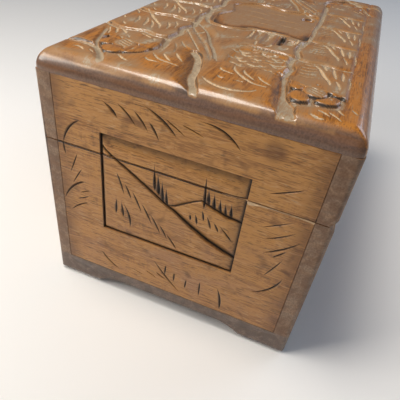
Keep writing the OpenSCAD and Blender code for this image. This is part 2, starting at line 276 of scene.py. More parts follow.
    def smudges(self, tree: Tree, place: Socket) -> Socket:
        """Return where old wax and finger marks have darkened the wood in small soft spots.

        Args:
            tree: The material's nodes.
            place: The place, in metres.

        Returns:
            A share from 0 to 1.
        """
        spots = self.pattern(tree, place, self.smudge_mm, self.smudge_mm * 1.3, 2.0, 0.6)
        dark = add_node(tree, "ShaderNodeMapRange", (spots, 0.56, 0.74, 0.0, 0.55), **SOFTLY).outputs[0]
        if self.blot is None:
            return dark
        centre = tuple(value * MM for value in self.blot)
        gap = add_node(tree, "ShaderNodeVectorMath", (place, centre), operation="DISTANCE").outputs["Value"]
        blot = add_node(tree, "ShaderNodeMapRange", (gap, 2.5 * MM, 7.5 * MM, 0.6, 0.0), **SOFTLY).outputs[0]
        return add_node(tree, "ShaderNodeMath", (dark, blot), operation="MAXIMUM").outputs[0]

    def curl(self, tree: Tree, place: Socket, ripple: Socket) -> Socket:
        """Keep the ripple across the grain to a few patches, and return the mean elsewhere.

        Args:
            tree: The material's nodes.
            place: The place, in metres.
            ripple: The ripple everywhere.

        Returns:
            The ripple in patches.
        """
        patches = self.pattern(tree, place, self.band_mm * 2, self.band_mm * 4, 1.0, 0.5)
        share = add_node(tree, "ShaderNodeMapRange", (patches, 0.48, 0.62), **SOFTLY).outputs[0]
        return add_node(tree, "ShaderNodeMix", {0: share, 2: 0.5, 3: ripple}).outputs[0]

    def grime(self, tree: Tree, place: Socket, bands: Socket) -> Socket:
        """Return how dark handling has made the wood towards both ends of a board.

        Args:
            tree: The material's nodes.
            place: The place, in metres.
            bands: The wood's slow bands, which make it uneven.

        Returns:
            A share from 0 to 1.
        """
        axes = add_node(tree, "ShaderNodeSeparateXYZ", [place])
        along = add_node(tree, "ShaderNodeMath", [axes.outputs[self.grain.value]],
                         operation="ABSOLUTE").outputs[0]
        limits = (self.grime_from * MM, (self.grime_from + 14) * MM)
        near = add_node(tree, "ShaderNodeMapRange", (along, *limits), **SOFTLY).outputs[0]
        uneven = add_node(tree, "ShaderNodeMapRange", (bands, 0.35, 0.6, 0.25, 0.75), **SOFTLY).outputs[0]
        return add_node(tree, "ShaderNodeMath", (near, uneven), operation="MULTIPLY").outputs[0]

    def with_end_grain(self, tree: Tree, coordinates: bpy.types.Node, flat: Socket) -> Socket:
        """Darken the faces that cut across the grain, which drink more stain, and speckle them.

        Args:
            tree: The material's nodes.
            coordinates: The piece's own coordinates.
            flat: The colour along the grain.

        Returns:
            The colour all over.
        """
        axes = add_node(tree, "ShaderNodeSeparateXYZ", [coordinates.outputs["Normal"]])
        facing = add_node(tree, "ShaderNodeMath", [axes.outputs[self.grain.value]],
                          operation="ABSOLUTE").outputs[0]
        noises = []
        for sizes, detail, distortion in (((0.9, 0.9, 0.9), 4.0, 0.0), ((30.0, 30.0, 2.5), 3.0, 0.6)):
            scaled = add_node(tree, "ShaderNodeMapping", {
                "Vector": coordinates.outputs["Object"], "Scale": [1 / (size * MM) for size in sizes],
            }).outputs[0]
            inputs = {"Vector": scaled, "Scale": 1.0, "Detail": detail, "Roughness": 0.55,
                      "Distortion": distortion}
            noises.append(add_node(tree, "ShaderNodeTexNoise", inputs).outputs[0])
        speckle, rings = noises
        across = lay(tree, linear(self.cut), (
            (self.end_grain, speckle, 0.38, 0.62, 0.62, 1.0), (self.middle, rings, 0.4, 0.65, 0.0, 0.25),
        ))
        return lay(tree, flat, [(across, facing, 0.4, 0.75)])

    def inside(self, tree: Tree, place: Socket) -> Socket:
        """Return one where a place lies on the inside of the box, and zero outside.

        Args:
            tree: The material's nodes.
            place: The place, in metres.

        Returns:
            One or zero.
        """
        axes = add_node(tree, "ShaderNodeSeparateXYZ", [place]).outputs
        slack = 0.2
        tests = [(axes[2], Shell.floor - slack, "GREATER_THAN"),
                 (axes[2], Shell.ceiling + slack, "LESS_THAN")]
        for axis, limit in zip(axes, (Shell.inner_half_length, Shell.inner_half_width)):
            size = add_node(tree, "ShaderNodeMath", [axis], operation="ABSOLUTE").outputs[0]
            tests.append((size, limit + slack, "LESS_THAN"))
        result = 1.0
        for value, limit, operation in tests:
            test = add_node(tree, "ShaderNodeMath", (value, limit * MM), operation=operation).outputs[0]
            result = add_node(tree, "ShaderNodeMath", (result, test), operation="MULTIPLY").outputs[0]
        return result


@dataclass(frozen=True)
class AgedMetal:
    """Brass or steel hardware, drawn or stamped, that has tarnished: a dull film with bright rubbed spots."""

    name: str
    bright: str
    tarnish: str
    roughness: float
    spot_mm: float = 1.5

    def build(self) -> Material:
        """Make the material with patches of tarnish, which are both darker and rougher.

        Returns:
            The new material.
        """
        material = bpy.data.materials.new(self.name)
        material.use_nodes = True
        tree = material.node_tree
        tree.nodes.clear()
        place = add_node(tree, "ShaderNodeTexCoord").outputs["Object"]
        scale = [1 / (self.spot_mm * MM)] * 3
        scaled = add_node(tree, "ShaderNodeMapping", {"Vector": place, "Scale": scale}).outputs[0]
        inputs = {"Vector": scaled, "Scale": 1.0, "Detail": 5.0, "Roughness": 0.6}
        film = add_node(tree, "ShaderNodeTexNoise", inputs).outputs[0]
        colour = lay(tree, linear(self.bright), [(self.tarnish, film, 0.4, 0.62)])
        limits = (0.35, 0.65, self.roughness, self.roughness + 0.25)
        rough = add_node(tree, "ShaderNodeMapRange", (film, *limits), **SOFTLY).outputs[0]
        bump = add_node(tree, "ShaderNodeBump", {"Strength": 0.3, "Distance": 0.05 * MM, "Height": film})
        surface = add_node(tree, "ShaderNodeBsdfPrincipled", {
            "Base Color": colour, "Metallic": 1.0, "Roughness": rough, "Normal": bump.outputs["Normal"],
        })
        add_node(tree, "ShaderNodeOutputMaterial", {"Surface": surface.outputs[0]})
        return material


class Shell:
    """The box's main sizes in millimetres, read from the frame."""

    low, high = ([value / MM for value in corner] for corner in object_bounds())
    half_length = high[0]
    half_width = high[1]
    inner_half_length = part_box("right_end_board")[0][0] / MM
    inner_half_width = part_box("right_end_board")[1][1] / MM
    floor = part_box("base_board")[1][2] / MM
    body_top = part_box("front_board")[1][2] / MM
    lid_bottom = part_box("lid_front_rail")[0][2] / MM
    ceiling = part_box("lid_top_board")[0][2] / MM
    top = high[2]
    side_thickness = half_width - inner_half_width
    end_thickness = half_length - inner_half_length


@dataclass(frozen=True)
class Face:
    """An upright outer face of the box, as the carver looks at it.

    A point is given by millimetres across, from the middle of the face, and up, from the table.
    """

    middle: Vector
    across: Vector
    inward: Vector

    def point(self, across: float, up: float, depth: float) -> Vector:
        """Return a point of the frame, in metres, at a depth below the face."""
        place = self.middle + self.across * across + self.inward * depth
        return Vector((place.x, place.y, place.z + up)) * MM


class Faces:
    """The upright faces that are carved."""

    right = Face(Vector((Shell.half_length, 0, 0)), Vector((0, 1, 0)), Vector((-1, 0, 0)))
    left = Face(Vector((-Shell.half_length, 0, 0)), Vector((0, -1, 0)), Vector((1, 0, 0)))
    front = Face(Vector((0, -Shell.half_width, 0)), Vector((1, 0, 0)), Vector((0, 1, 0)))


@dataclass(frozen=True)
class Groove:
    """A cut along a line of points, with its own reach on each side and its own depth at each point.

    The left side is the one on the left of a walk along the line. Inside limits, given as the lowest and
    the highest corner, it ends where they do. A cut is darkened with painted shade and grime: a knife cut
    by its depth, a sloping one most near its bottom line.
    """

    line: np.ndarray
    left: np.ndarray
    right: np.ndarray
    depth: np.ndarray
    limits: tuple[Point, Point] | None = None
    sloping: bool = False

    def outlines(self) -> list[np.ndarray]:
        """Return the left edge, the bottom line and the right edge."""
        along = np.gradient(self.line, axis=0)
        along /= np.linalg.norm(along, axis=1)[:, None] + 1e-9
        sideways = np.stack([-along[:, 1], along[:, 0]], axis=1)
        found = [self.line + sideways * self.left[:, None], self.line,
                 self.line - sideways * self.right[:, None]]
        if self.sloping:
            found.extend(self.line + sideways * (self.left * share)[:, None] for share in (0.12, 0.3))
            found.extend(self.line - sideways * (self.right * share)[:, None] for share in (0.12, 0.3))
        return found if self.limits is None else [np.clip(line, *self.limits) for line in found]

    def shade_and_dirt_at(self, points: np.ndarray) -> np.ndarray:
        """Return how dark each of the points is, from 0 to 1."""
        # Painted shade and grime: a knife cut darkens with its depth, a sloping one near its bottom line.
        if not self.sloping:
            return np.clip(self.depth_at(points) / 0.6, 0, 1)
        share = np.clip(self.share_at(points), 0, 1)
        return 0.45 * share + 0.55 * share ** 3

    def depth_at(self, points: np.ndarray) -> np.ndarray:
        """Return how deep the cut is at each of the points."""
        return self.measure(points)[0]

    def share_at(self, points: np.ndarray) -> np.ndarray:
        """Return how near the bottom line each of the points is: one on it, zero at the cut's edges."""
        return self.measure(points)[1]

    def measure(self, points: np.ndarray) -> tuple[np.ndarray, np.ndarray]:
        """Return the depth of the cut and the nearness of its bottom line at each of the points.

        Args:
            points: Places on the face, in millimetres.

        Returns:
            The depths in millimetres, and the nearness from 0 to 1.
        """
        depths = np.zeros(len(points))
        shares = np.zeros(len(points))
        reach = max(self.left.max(), self.right.max())
        low = self.line.min(axis=0) - reach
        high = self.line.max(axis=0) + reach
        near = np.nonzero(np.all((points >= low) & (points <= high), axis=1))[0]
        if len(near) == 0:
            return depths, shares
        picked = points[near]
        nearest = np.full(len(near), np.inf)
        deep = np.zeros(len(near))
        part = np.zeros(len(near))
        for i in range(len(self.line) - 1):
            start = self.line[i]
            step = self.line[i + 1] - start
            offset = picked - start
            t = np.clip(offset @ step / (float(step @ step) + 1e-12), 0, 1)
            gap = offset - t[:, None] * step
            distance = np.hypot(gap[:, 0], gap[:, 1])
            side = step[0] * offset[:, 1] - step[1] * offset[:, 0]
            left = self.left[i] + (self.left[i + 1] - self.left[i]) * t
            right = self.right[i] + (self.right[i + 1] - self.right[i]) * t
            depth = self.depth[i] + (self.depth[i + 1] - self.depth[i]) * t
            share = np.clip(1 - distance / np.maximum(np.where(side >= 0, left, right), 1e-6), 0, 1)
            closer = distance < nearest
            nearest = np.where(closer, distance, nearest)
            deep = np.where(closer, depth * share, deep)
            part = np.where(closer, share, part)
        if self.limits is not None:
            low, high = np.array(self.limits)
            within = np.all((picked >= low - 1e-6) & (picked <= high + 1e-6), axis=1)
            deep = np.where(within, deep, 0.0)
            part = np.where(within, part, 0.0)
        depths[near] = deep
        shares[near] = part
        return depths, shares


@dataclass(frozen=True)
class SunkPanel:
    """A rectangle outlined by stop cuts, from which the surface slopes back up towards its middle.

    Reach and depth are given for the bottom, the right, the top and the left side.
    """

    low: Point
    high: Point
    reach: tuple[float, float, float, float]
    depth: tuple[float, float, float, float]
    wall: float = 0.2
    facet: float = 1.3

    def outlines(self) -> list[np.ndarray]:
        """Return the outline at the foot and at the top of its walls, and a net of points inside."""
        found = []
        for out in (0.0, self.wall):
            x0, y0 = self.low[0] - out, self.low[1] - out
            x1, y1 = self.high[0] + out, self.high[1] + out
            found.append(split_line(np.array([(x0, y0), (x1, y0), (x1, y1), (x0, y1), (x0, y0)]), 3.0))
        columns = np.arange(self.low[0] + self.facet, self.high[0] - 0.5, self.facet)
        levels = np.arange(self.low[1] + self.facet, self.high[1] - 0.5, self.facet)
        found.extend(np.array([(x, y)]) for x in columns for y in levels)
        return found

    def share_at(self, points: np.ndarray) -> np.ndarray:
        """Return, for each side, how far up its slope each of the points is: one at the wall, zero inside.

        Args:
            points: Places on the face, in millimetres.

        Returns:
            Four rows of shares, for the sides in their order.
        """
        x = points[:, 0]
        y = points[:, 1]
        gaps = [y - self.low[1], self.high[0] - x, self.high[1] - y, x - self.low[0]]
        within = np.minimum.reduce(gaps) > -1e-6
        return np.array([np.where(within, np.clip(1 - gap / reach, 0, 1), 0.0)
                         for gap, reach in zip(gaps, self.reach)])

    def depth_at(self, points: np.ndarray) -> np.ndarray:
        """Return how deep the surface lies at each of the points, with the facets of a flat chisel."""
        shares = self.share_at(points)
        depth = np.max(shares * np.array(self.depth)[:, None], axis=0)
        facets = 0.12 * np.sin(points[:, 0] * 1.9 + 1.3 * np.sin(points[:, 1])) * np.sin(points[:, 1] * 1.4)
        return np.where(depth > 0.15, np.maximum(depth + facets, 0), depth)

    def shade_and_dirt_at(self, points: np.ndarray) -> np.ndarray:
        """Return how dark each of the points is, from 0 to 1."""
        # Painted shade on the slopes, darkest at the stop cuts, and a painted shadow below the top border.
        sides = self.share_at(points)
        share = np.max(sides, axis=0)
        ledge_shadow = np.clip(sides[2] * 1.6, 0, 1) * np.clip(1 - sides[3] * 2, 0, 1)
        return np.maximum(0.3 * share + 0.65 * share ** 7, 0.42 * ledge_shadow)


def split_line(line: np.ndarray, step: float) -> np.ndarray:
    """Return a line with points no further apart than a step.

    Args:
        line: The corners, in order.
        step: The greatest distance between points.

    Returns:
        The corners with points between them.
    """
    found = []
    for a, b in zip(line[:-1], line[1:]):
        count = max(1, int(np.ceil(np.linalg.norm(b - a) / step)))
        found.extend(a + (b - a) * k / count for k in range(count))
    found.append(line[-1])
    return np.array(found)


def knife_cut(start: Point, end: Point, bow: float = 0.0, width: float = 1.2, depth: float = 0.8,
              belly: float = 0.45) -> Groove:
    """Make one curved knife cut, pointed at both ends.

    Args:
        start: Where the knife goes in.
        end: Where it comes out.
        bow: How far the middle of the cut stands to the left of the straight line.
        width: The greatest width.
        depth: The greatest depth.
        belly: How far along the cut it is widest, from 0 to 1.

    Returns:
        The cut.
    """
    a = np.array(start)
    b = np.array(end)
    length = float(np.linalg.norm(b - a))
    t = np.linspace(0, 1, max(6, int(length / 1.6)))
    left_of = np.array([-(b - a)[1], (b - a)[0]]) / length
    line = a + (b - a) * t[:, None] + left_of * (bow * 4 * t * (1 - t))[:, None]
    swell = np.sin(math.pi * t ** (math.log(0.5) / math.log(belly))) ** 0.75
    swell[[0, -1]] = 0.0
    half = width * 0.58 * swell
    return Groove(line, half * 0.8, half * 1.2, depth * swell)


def ridge_cut(points: Sequence[Point], steep: float, slope: Sequence[float], depth: Sequence[float],
              limits: tuple[Point, Point]) -> Groove:
    """Make a cut that leaves a steep wall on the right of a line and slopes up on its left.

    Args:
        points: The line, point by point.
        steep: Reach of the steep side.
        slope: Reach of the sloping side at each point.
        depth: Depth at each point.
        limits: The lowest and the highest corner of the panel that it stays in.

    Returns:
        The cut.
    """
    line = []
    reach = []
    deep = []
    for i in range(len(points) - 1):
        a = np.array(points[i])
        b = np.array(points[i + 1])
        steps = max(2, int(np.linalg.norm(b - a) / 2.5))
        for k in range(steps + (i == len(points) - 2)):
            t = k / steps
            line.append(a + (b - a) * t)
            reach.append(slope[i] + (slope[i + 1] - slope[i]) * t)
            deep.append(depth[i] + (depth[i + 1] - depth[i]) * t)
    size = len(line)
    return Groove(np.array(line), np.array(reach), np.full(size, steep), np.array(deep), limits, True)


@dataclass
class CarvedBoard:
    """A board with knife cuts in its outer face, made as one closed mesh.

    The rectangle is its outer face. Where the rounding is set, its two outer ends are upright edges
    of the box. Nail places get a small round pocket.
    """

    name: str
    face: Face
    low: Point
    high: Point
    thickness: float
    cuts: list[Groove | SunkPanel]
    nails: list[Point] = field(default_factory=list)
    rounding: float = 0.0
    eased: float = 0.35
    nail_pocket: float = 1.15
    nail_depth: float = 0.45
    chips: list[Point] = field(default_factory=list)

    def lines(self) -> list[np.ndarray]:
        """Return all the lines that the mesh has to keep.

        Returns:
            Lines on the face, each a row of places.
        """
        x0, y0 = self.low
        x1, y1 = self.high
        found = []
        for inset in (0.0, self.eased, self.eased + 0.15):
            corners = [(x0 + inset, y0 + inset), (x1 - inset, y0 + inset), (x1 - inset, y1 - inset),
                       (x0 + inset, y1 - inset), (x0 + inset, y0 + inset)]
            found.append(split_line(np.array(corners), 4.0))
        if self.chips:
            chipped = np.array([(x, y1 - width) for x, width in self.chips])
            found.extend([chipped, chipped - [0.0, 0.15]])
        if self.rounding:
            for angle in np.radians([0, 18, 36, 54, 72]):
                reach = self.rounding * (1 - math.sin(angle))
                for x in (x0 + reach, x1 - reach):
                    found.append(np.array([(x, y0), (x, y1)]))
        for cut in self.cuts:
            found.extend(cut.outlines())
        turn = np.linspace(0, 2 * math.pi, 13)
        for x, y in self.nails:
            for radius in (self.nail_pocket, self.nail_pocket + 0.12):
                found.append(np.stack([x + radius * np.cos(turn), y + radius * np.sin(turn)], axis=1))
        return [line for line in found if self.touches(line)]

    def touches(self, line: np.ndarray) -> bool:
        """Tell whether a line may reach into the face."""
        return bool(np.all(line.max(axis=0) >= self.low) and np.all(line.min(axis=0) <= self.high))

    def above_chips(self, points: np.ndarray) -> np.ndarray:
        """Return how far each of the points lies inside the chipped upper edge, from 0 to 1.

        Args:
            points: Places on the face, in millimetres.

        Returns:
            The shares, minus one well outside.
        """
        if not self.chips:
            return np.full(len(points), -1.0)
        widths = np.interp(points[:, 0], *zip(*self.chips), left=0.0, right=0.0)
        return np.where(widths > 0.02,
                        np.clip(1 - (self.high[1] - points[:, 1]) / np.maximum(widths, 0.02), -1, 1), -1)

    def depth(self, points: np.ndarray) -> np.ndarray:
        """Return the depth of the surface below the face.

        Args:
            points: Places on the face, in millimetres.

        Returns:
            The depths in millimetres.
        """
        knife = np.max([cut.depth_at(points) for cut in self.cuts], axis=0)
        knife = np.maximum(knife, 0.5 * np.clip(self.above_chips(points), 0, 1))
        edge = np.minimum.reduce([
            points[:, 0] - self.low[0], self.high[0] - points[:, 0],
            points[:, 1] - self.low[1], self.high[1] - points[:, 1],
        ])
        depth = np.maximum(knife, np.clip(self.eased - edge, 0, None))
        for x, y in self.nails:
            distance = np.hypot(points[:, 0] - x, points[:, 1] - y)
            depth = np.where(distance < self.nail_pocket + 0.02, np.maximum(depth, self.nail_depth), depth)
        if self.rounding:
            reach = np.clip(np.maximum(points[:, 0] - self.high[0], self.low[0] - points[:, 0])
                            + self.rounding, 0, self.rounding)
            depth = np.maximum(depth, self.rounding - np.sqrt(np.maximum(self.rounding ** 2 - reach ** 2, 0)))
        return depth

    def build(self, material: Material) -> bpy.types.Object:
        """Make the board's mesh.

        Args:
            material: The finish of the whole board.

        Returns:
            The new object, closed, with the attributes cut and worn on its points.
        """
        points: list[Vector] = []
        edges: list[tuple[int, int]] = []
        for line in self.lines():
            first = len(points)
            points.extend(Vector((float(x), float(y))) for x, y in line)
            edges.extend((i, i + 1) for i in range(first, len(points) - 1))
        flat, _, triangles, *_ = delaunay_2d_cdt(points, edges, [], 0, 1e-4)
        place = np.array([tuple(point) for point in flat])
        slack = 2e-3
        kept = []
        for triangle in triangles:
            x, y = place[list(triangle)].mean(axis=0)
            if self.low[0] < x < self.high[0] and self.low[1] < y < self.high[1]:
                kept.append(list(triangle))
        used = np.unique(np.concatenate([np.array(triangle) for triangle in kept]))
        number = {int(old): new for new, old in enumerate(used)}
        place = place[used]
        place = np.clip(place, self.low, self.high)
        depth = self.depth(place)
        vertices = [self.face.point(x, y, d) for (x, y), d in zip(place, depth)]
        faces = [[number[i] for i in triangle] for triangle in kept]
        corner = len(vertices)
        corners = [self.low, (self.high[0], self.low[1]), self.high, (self.low[0], self.high[1])]
        vertices.extend(self.face.point(x, y, self.thickness) for x, y in corners)
        faces.append([corner, corner + 3, corner + 2, corner + 1])
        sides = ((1, self.low[1], 0, 1), (0, self.high[0], 1, 1), (1, self.high[1], 0, -1),
                 (0, self.low[0], 1, -1))
        for index, (axis, level, run, way) in enumerate(sides):
            row = np.nonzero(np.abs(place[:, axis] - level) < slack)[0]
            row = row[np.argsort(place[row, run] * way)]
            faces.append([int(i) for i in row[::-1]] + [corner + index, corner + (index + 1) % 4])
        mesh = bpy.data.meshes.new(self.name)
        mesh.from_pydata(vertices, [], faces)
        shown = 3 * len(kept)
        chipped = np.clip((self.above_chips(place) + 0.05) / 0.1, 0, 1)
        # Painted shade, with some grime, in the cuts.
        shade_and_dirt = np.max([cut.shade_and_dirt_at(place) for cut in self.cuts], axis=0)
        seam = (Shell.body_top + Shell.lid_bottom) / 2
        at_seam = (np.abs(place[:, 1] - seam) < self.eased + 0.3) & (chipped < 0.5)
        # Painted shade in the gap of the seam between body and lid, laid over the eased edge.
        shade_and_dirt = np.where(at_seam, np.maximum(shade_and_dirt, 0.85), shade_and_dirt)
        mark(mesh, "cut", shade_and_dirt * (1 - chipped), shown)
        mark(mesh, "worn", chipped, shown)
        return finish_mesh(mesh, material, math.radians(22))


def mark(mesh: Mesh, name: str, values: np.ndarray, shown: int) -> None:
    """Keep one number for each corner of a mesh's carved faces, and zero on its other faces.

    Args:
        mesh: The mesh, whose carved faces come first.
        name: The attribute's name.
        values: One number for each point of the carved faces.
        shown: How many corners the carved faces have.
    """
    numbers = np.empty(len(mesh.loops), dtype=np.int32)
    mesh.loops.foreach_get("vertex_index", numbers)
    marks = np.zeros(len(numbers), dtype=np.float32)
    marks[:shown] = values[numbers[:shown]]
    mesh.attributes.new(name, "FLOAT", "CORNER").data.foreach_set("value", marks)


def finish_mesh(mesh: Mesh, material: Material, sharp: float) -> bpy.types.Object:
    """Turn a mesh into a shown object.

    Args:
        mesh: The mesh, with its faces in place.
        material: Its only material.
        sharp: The angle, in radians, from which an edge stays sharp.

    Returns:
        The object, linked to the scene.
    """
    mesh.validate()
    mesh.polygons.foreach_set("use_smooth", [True] * len(mesh.polygons))
    mesh.set_sharp_from_angle(angle=sharp)
    mesh.materials.append(material)
    made = bpy.data.objects.new(mesh.name, mesh)
    bpy.context.scene.collection.objects.link(made)
    return made


@dataclass
class EndCarving:
    """Knife work of an end face: a sunk scene of two hills, and leaf cuts all round it."""

    mirrored: bool = False
    panel_low: Point = (-44.0, 53.5)
    panel_high: Point = (37.0, 118.5)
    cuts: list[Groove | SunkPanel] = field(default_factory=list)

    def cut(self, start: Point, end: Point, bow: float = 0.0, width: float = 1.2, depth: float = 0.8,
            belly: float = 0.45) -> None:
        """Add one knife cut."""
        if self.mirrored:
            start, end, bow = (-start[0], start[1]), (-end[0], end[1]), -bow
        self.cuts.append(knife_cut(start, end, bow, width, depth, belly))

    def ridge(self, points: Sequence[Point], slope: Sequence[float], depth: Sequence[float]) -> None:
        """Add a hill's outline from left to right, with the sky sloping down to it from above.

        Args:
            points: The outline.
            slope: Reach of the sky at each point.
            depth: Depth at each point.
        """
        steep = 0.6
        if not self.mirrored:
            self.cuts.append(ridge_cut(points, steep, slope, depth, self.limits()))
            return
        turned = [(-x, y) for x, y in points][::-1]
        self.cuts.append(ridge_cut(turned, steep, list(slope)[::-1], list(depth)[::-1], self.limits()))

    def limits(self) -> tuple[Point, Point]:
        """Return the panel's lowest and highest corner, on this face."""
        if not self.mirrored:
            return self.panel_low, self.panel_high
        return (-self.panel_high[0], self.panel_low[1]), (-self.panel_low[0], self.panel_high[1])

    def border(self) -> None:
        """Sink the edges of the panel: deep along the top and the right, a plain V elsewhere."""
        reach = (3.2, 7.0, 7.0, 2.2)
        depth = (1.7, 1.5, 2.2, 1.9)
        if self.mirrored:
            reach = (reach[0], reach[3], reach[2], reach[1])
            depth = (depth[0], depth[3], depth[2], depth[1])
        self.cuts.append(SunkPanel(*self.limits(), reach, depth))

    def hills(self) -> None:
        """Cut the outlines of the near and the far hill, with the sky sloping down to each."""
        self.ridge([(-43.8, 110.9), (-38, 106.6), (-20, 95.4), (-6, 86.2), (0, 83), (10, 76), (20, 70.3),
                    (30, 66.2), (36.9, 64.2)], [1.8, 2, 2.6, 3, 3.6, 4.8, 5.6, 6.2, 6.4],
                   [0.9, 1.1, 1.3, 1.5, 1.7, 2, 2.2, 2.3, 2.3])
        self.ridge([(14.5, 96.5), (20, 94), (28, 91), (37, 89.8)], [1.6, 2.8, 3.8, 4.2],
                   [0.9, 1.4, 1.9, 2.1])
        self.ridge([(-4.5, 85.8), (0, 87), (5, 90.5), (10, 94), (14.5, 96.5)],
                   [1.2, 2.2, 2, 1.6, 1.4], [0.8, 1.3, 1.1, 0.9, 0.8])

    def trees(self) -> None:
        """Stand two groups of pines on the hills, each pine one upright wedge."""
        near_hill = ((-12.2, 111.5, 93, 1.6), (-9.8, 106, 90.5, 2.5), (-7.3, 102.5, 86, 2.4),
                     (-4.8, 98.5, 84.5, 2.2))
        far_hill = ((15.8, 115.5, 92, 1.6), (18, 106.5, 94.5, 2.4), (21.2, 105, 92.5, 2.3),
                    (24.6, 102.5, 91.5, 2.2), (27.6, 100.5, 91, 2.1), (30.6, 101.5, 90.5, 2.1))
        for x, top, foot, width in near_hill + far_hill:
            self.cut((x - 0.6, top), (x + 0.5, foot), 0.0, width, 1.3, 0.72)

    def slopes(self) -> None:
        """Draw the tufts on the hills and the path of long cuts down the near hill."""
        tufts = (((9, 86), (9.6, 81.5)), ((12, 87), (13.6, 80)), ((15.4, 91), (17, 84)),
                 ((18.5, 88), (21.5, 80)), ((22.5, 85.5), (26, 79.5)), ((26, 84.5), (34, 75.5)))
        for start, end in tufts:
            self.cut(start, end, 0.3, 1.3, 0.8, 0.6)
        path = (((-34.5, 97.5), (-30, 84)), ((-29.5, 91.5), (-25.5, 82)), ((-25, 88), (-19, 75)),
                ((-19, 81.5), (-12.5, 69)), ((-13.5, 76), (-7, 64)), ((-8, 71), (-2.5, 61.5)),
                ((-3.5, 66), (4, 56)))
        for start, end in path:
            self.cut(start, end, 0.25, 1.1, 0.75, 0.5)
        for cut in (((-34.8, 79.5), (-35.2, 68), 0, 1.7, 0.9, 0.6),
                    ((-32, 78.5), (-30.5, 67), 0.2, 1.9, 0.9, 0.65),
                    ((-30.5, 77.5), (-26, 61.5), 1.4, 1.5, 0.9, 0.6)):
            self.cut(*cut)

    def leaf_cuts(self) -> None:
        """Cut the leaves round the panel: over it, left of it, under it and right of it."""
        for cut in (
            ((-42.5, 137), (-33.5, 129.5), 0.9, 1.9, 1, 0.65), ((-33.5, 137.5), (-23.5, 128), 0.8, 1.1),
            ((-24.5, 136), (-17, 127), 0.5, 1.2), ((-16.5, 132.5), (-11, 124), 0.4, 1.3),
            ((-20, 140.5), (-2, 128.5), 1.3, 1.9, 1, 0.6), ((-9, 136.8), (2, 130.5), 0.2, 0.8),
            ((0, 136), (12, 132.5), 0.2, 0.7), ((6.5, 140), (29.5, 131), 3.4, 1.5, 0.9, 0.6),
            ((46, 113.8), (62.5, 122), -0.5, 1.1), ((-55, 122.3), (-66.6, 105.8), -2.3, 1.6, 0.9),
            ((-66.6, 106.6), (-65.8, 98.5), -0.3, 1), ((-58.5, 101), (-64, 87), 0, 0.7),
            ((-56.5, 91.5), (-63, 80), 0, 0.7), ((-55, 83.3), (-69.8, 66), -2.3, 1.7, 1, 0.3),
            ((-59, 74.5), (-52, 78), 0, 0.8), ((-61.5, 69), (-52.5, 74.3), -0.5, 1.2),
            ((-53.5, 68.7), (-66, 58.8), -0.8, 1), ((-71, 84), (-71.6, 62), 0.3, 0.7),
            ((-46, 32.5), (-33, 21.5), -1.6, 1.5, 0.9, 0.45), ((-24.5, 26.5), (-16, 24.5), 0, 0.7),
            ((-15.5, 29.5), (-7.5, 26), 0.2, 0.8), ((-9.8, 41), (8.5, 21), -0.9, 1.4, 0.9, 0.5),
            ((-1.8, 40.5), (-2.2, 31.5), 0, 1.1), ((-8, 31.5), (-1, 28), -0.4, 1.3),
            ((4, 36.5), (4, 28.5), 0, 1.2), ((12, 34.5), (11.6, 26), 0, 1.1),
            ((20.6, 37), (21, 24), 0, 1.2), ((31.5, 37.5), (35.2, 19.5), 1, 1.9, 1, 0.6),
            ((47.5, 93.5), (61.5, 102), -0.4, 1), ((50, 86.5), (64, 96), -0.9, 1.2),
            ((51, 76.8), (67.5, 91), -1.2, 1.5, 0.9), ((55.5, 75), (62.5, 83), -0.4, 1.4),
            ((54.5, 60.5), (62, 76.5), -0.3, 0.8), ((50, 44.5), (65, 63), -3, 1.7, 0.9, 0.55),
        ):
            self.cut(*cut)

    def build(self) -> list[Groove | SunkPanel]:
        """Return all the cuts of the face."""
        for work in (self.border, self.hills, self.trees, self.slopes, self.leaf_cuts):
            work()
        return self.cuts


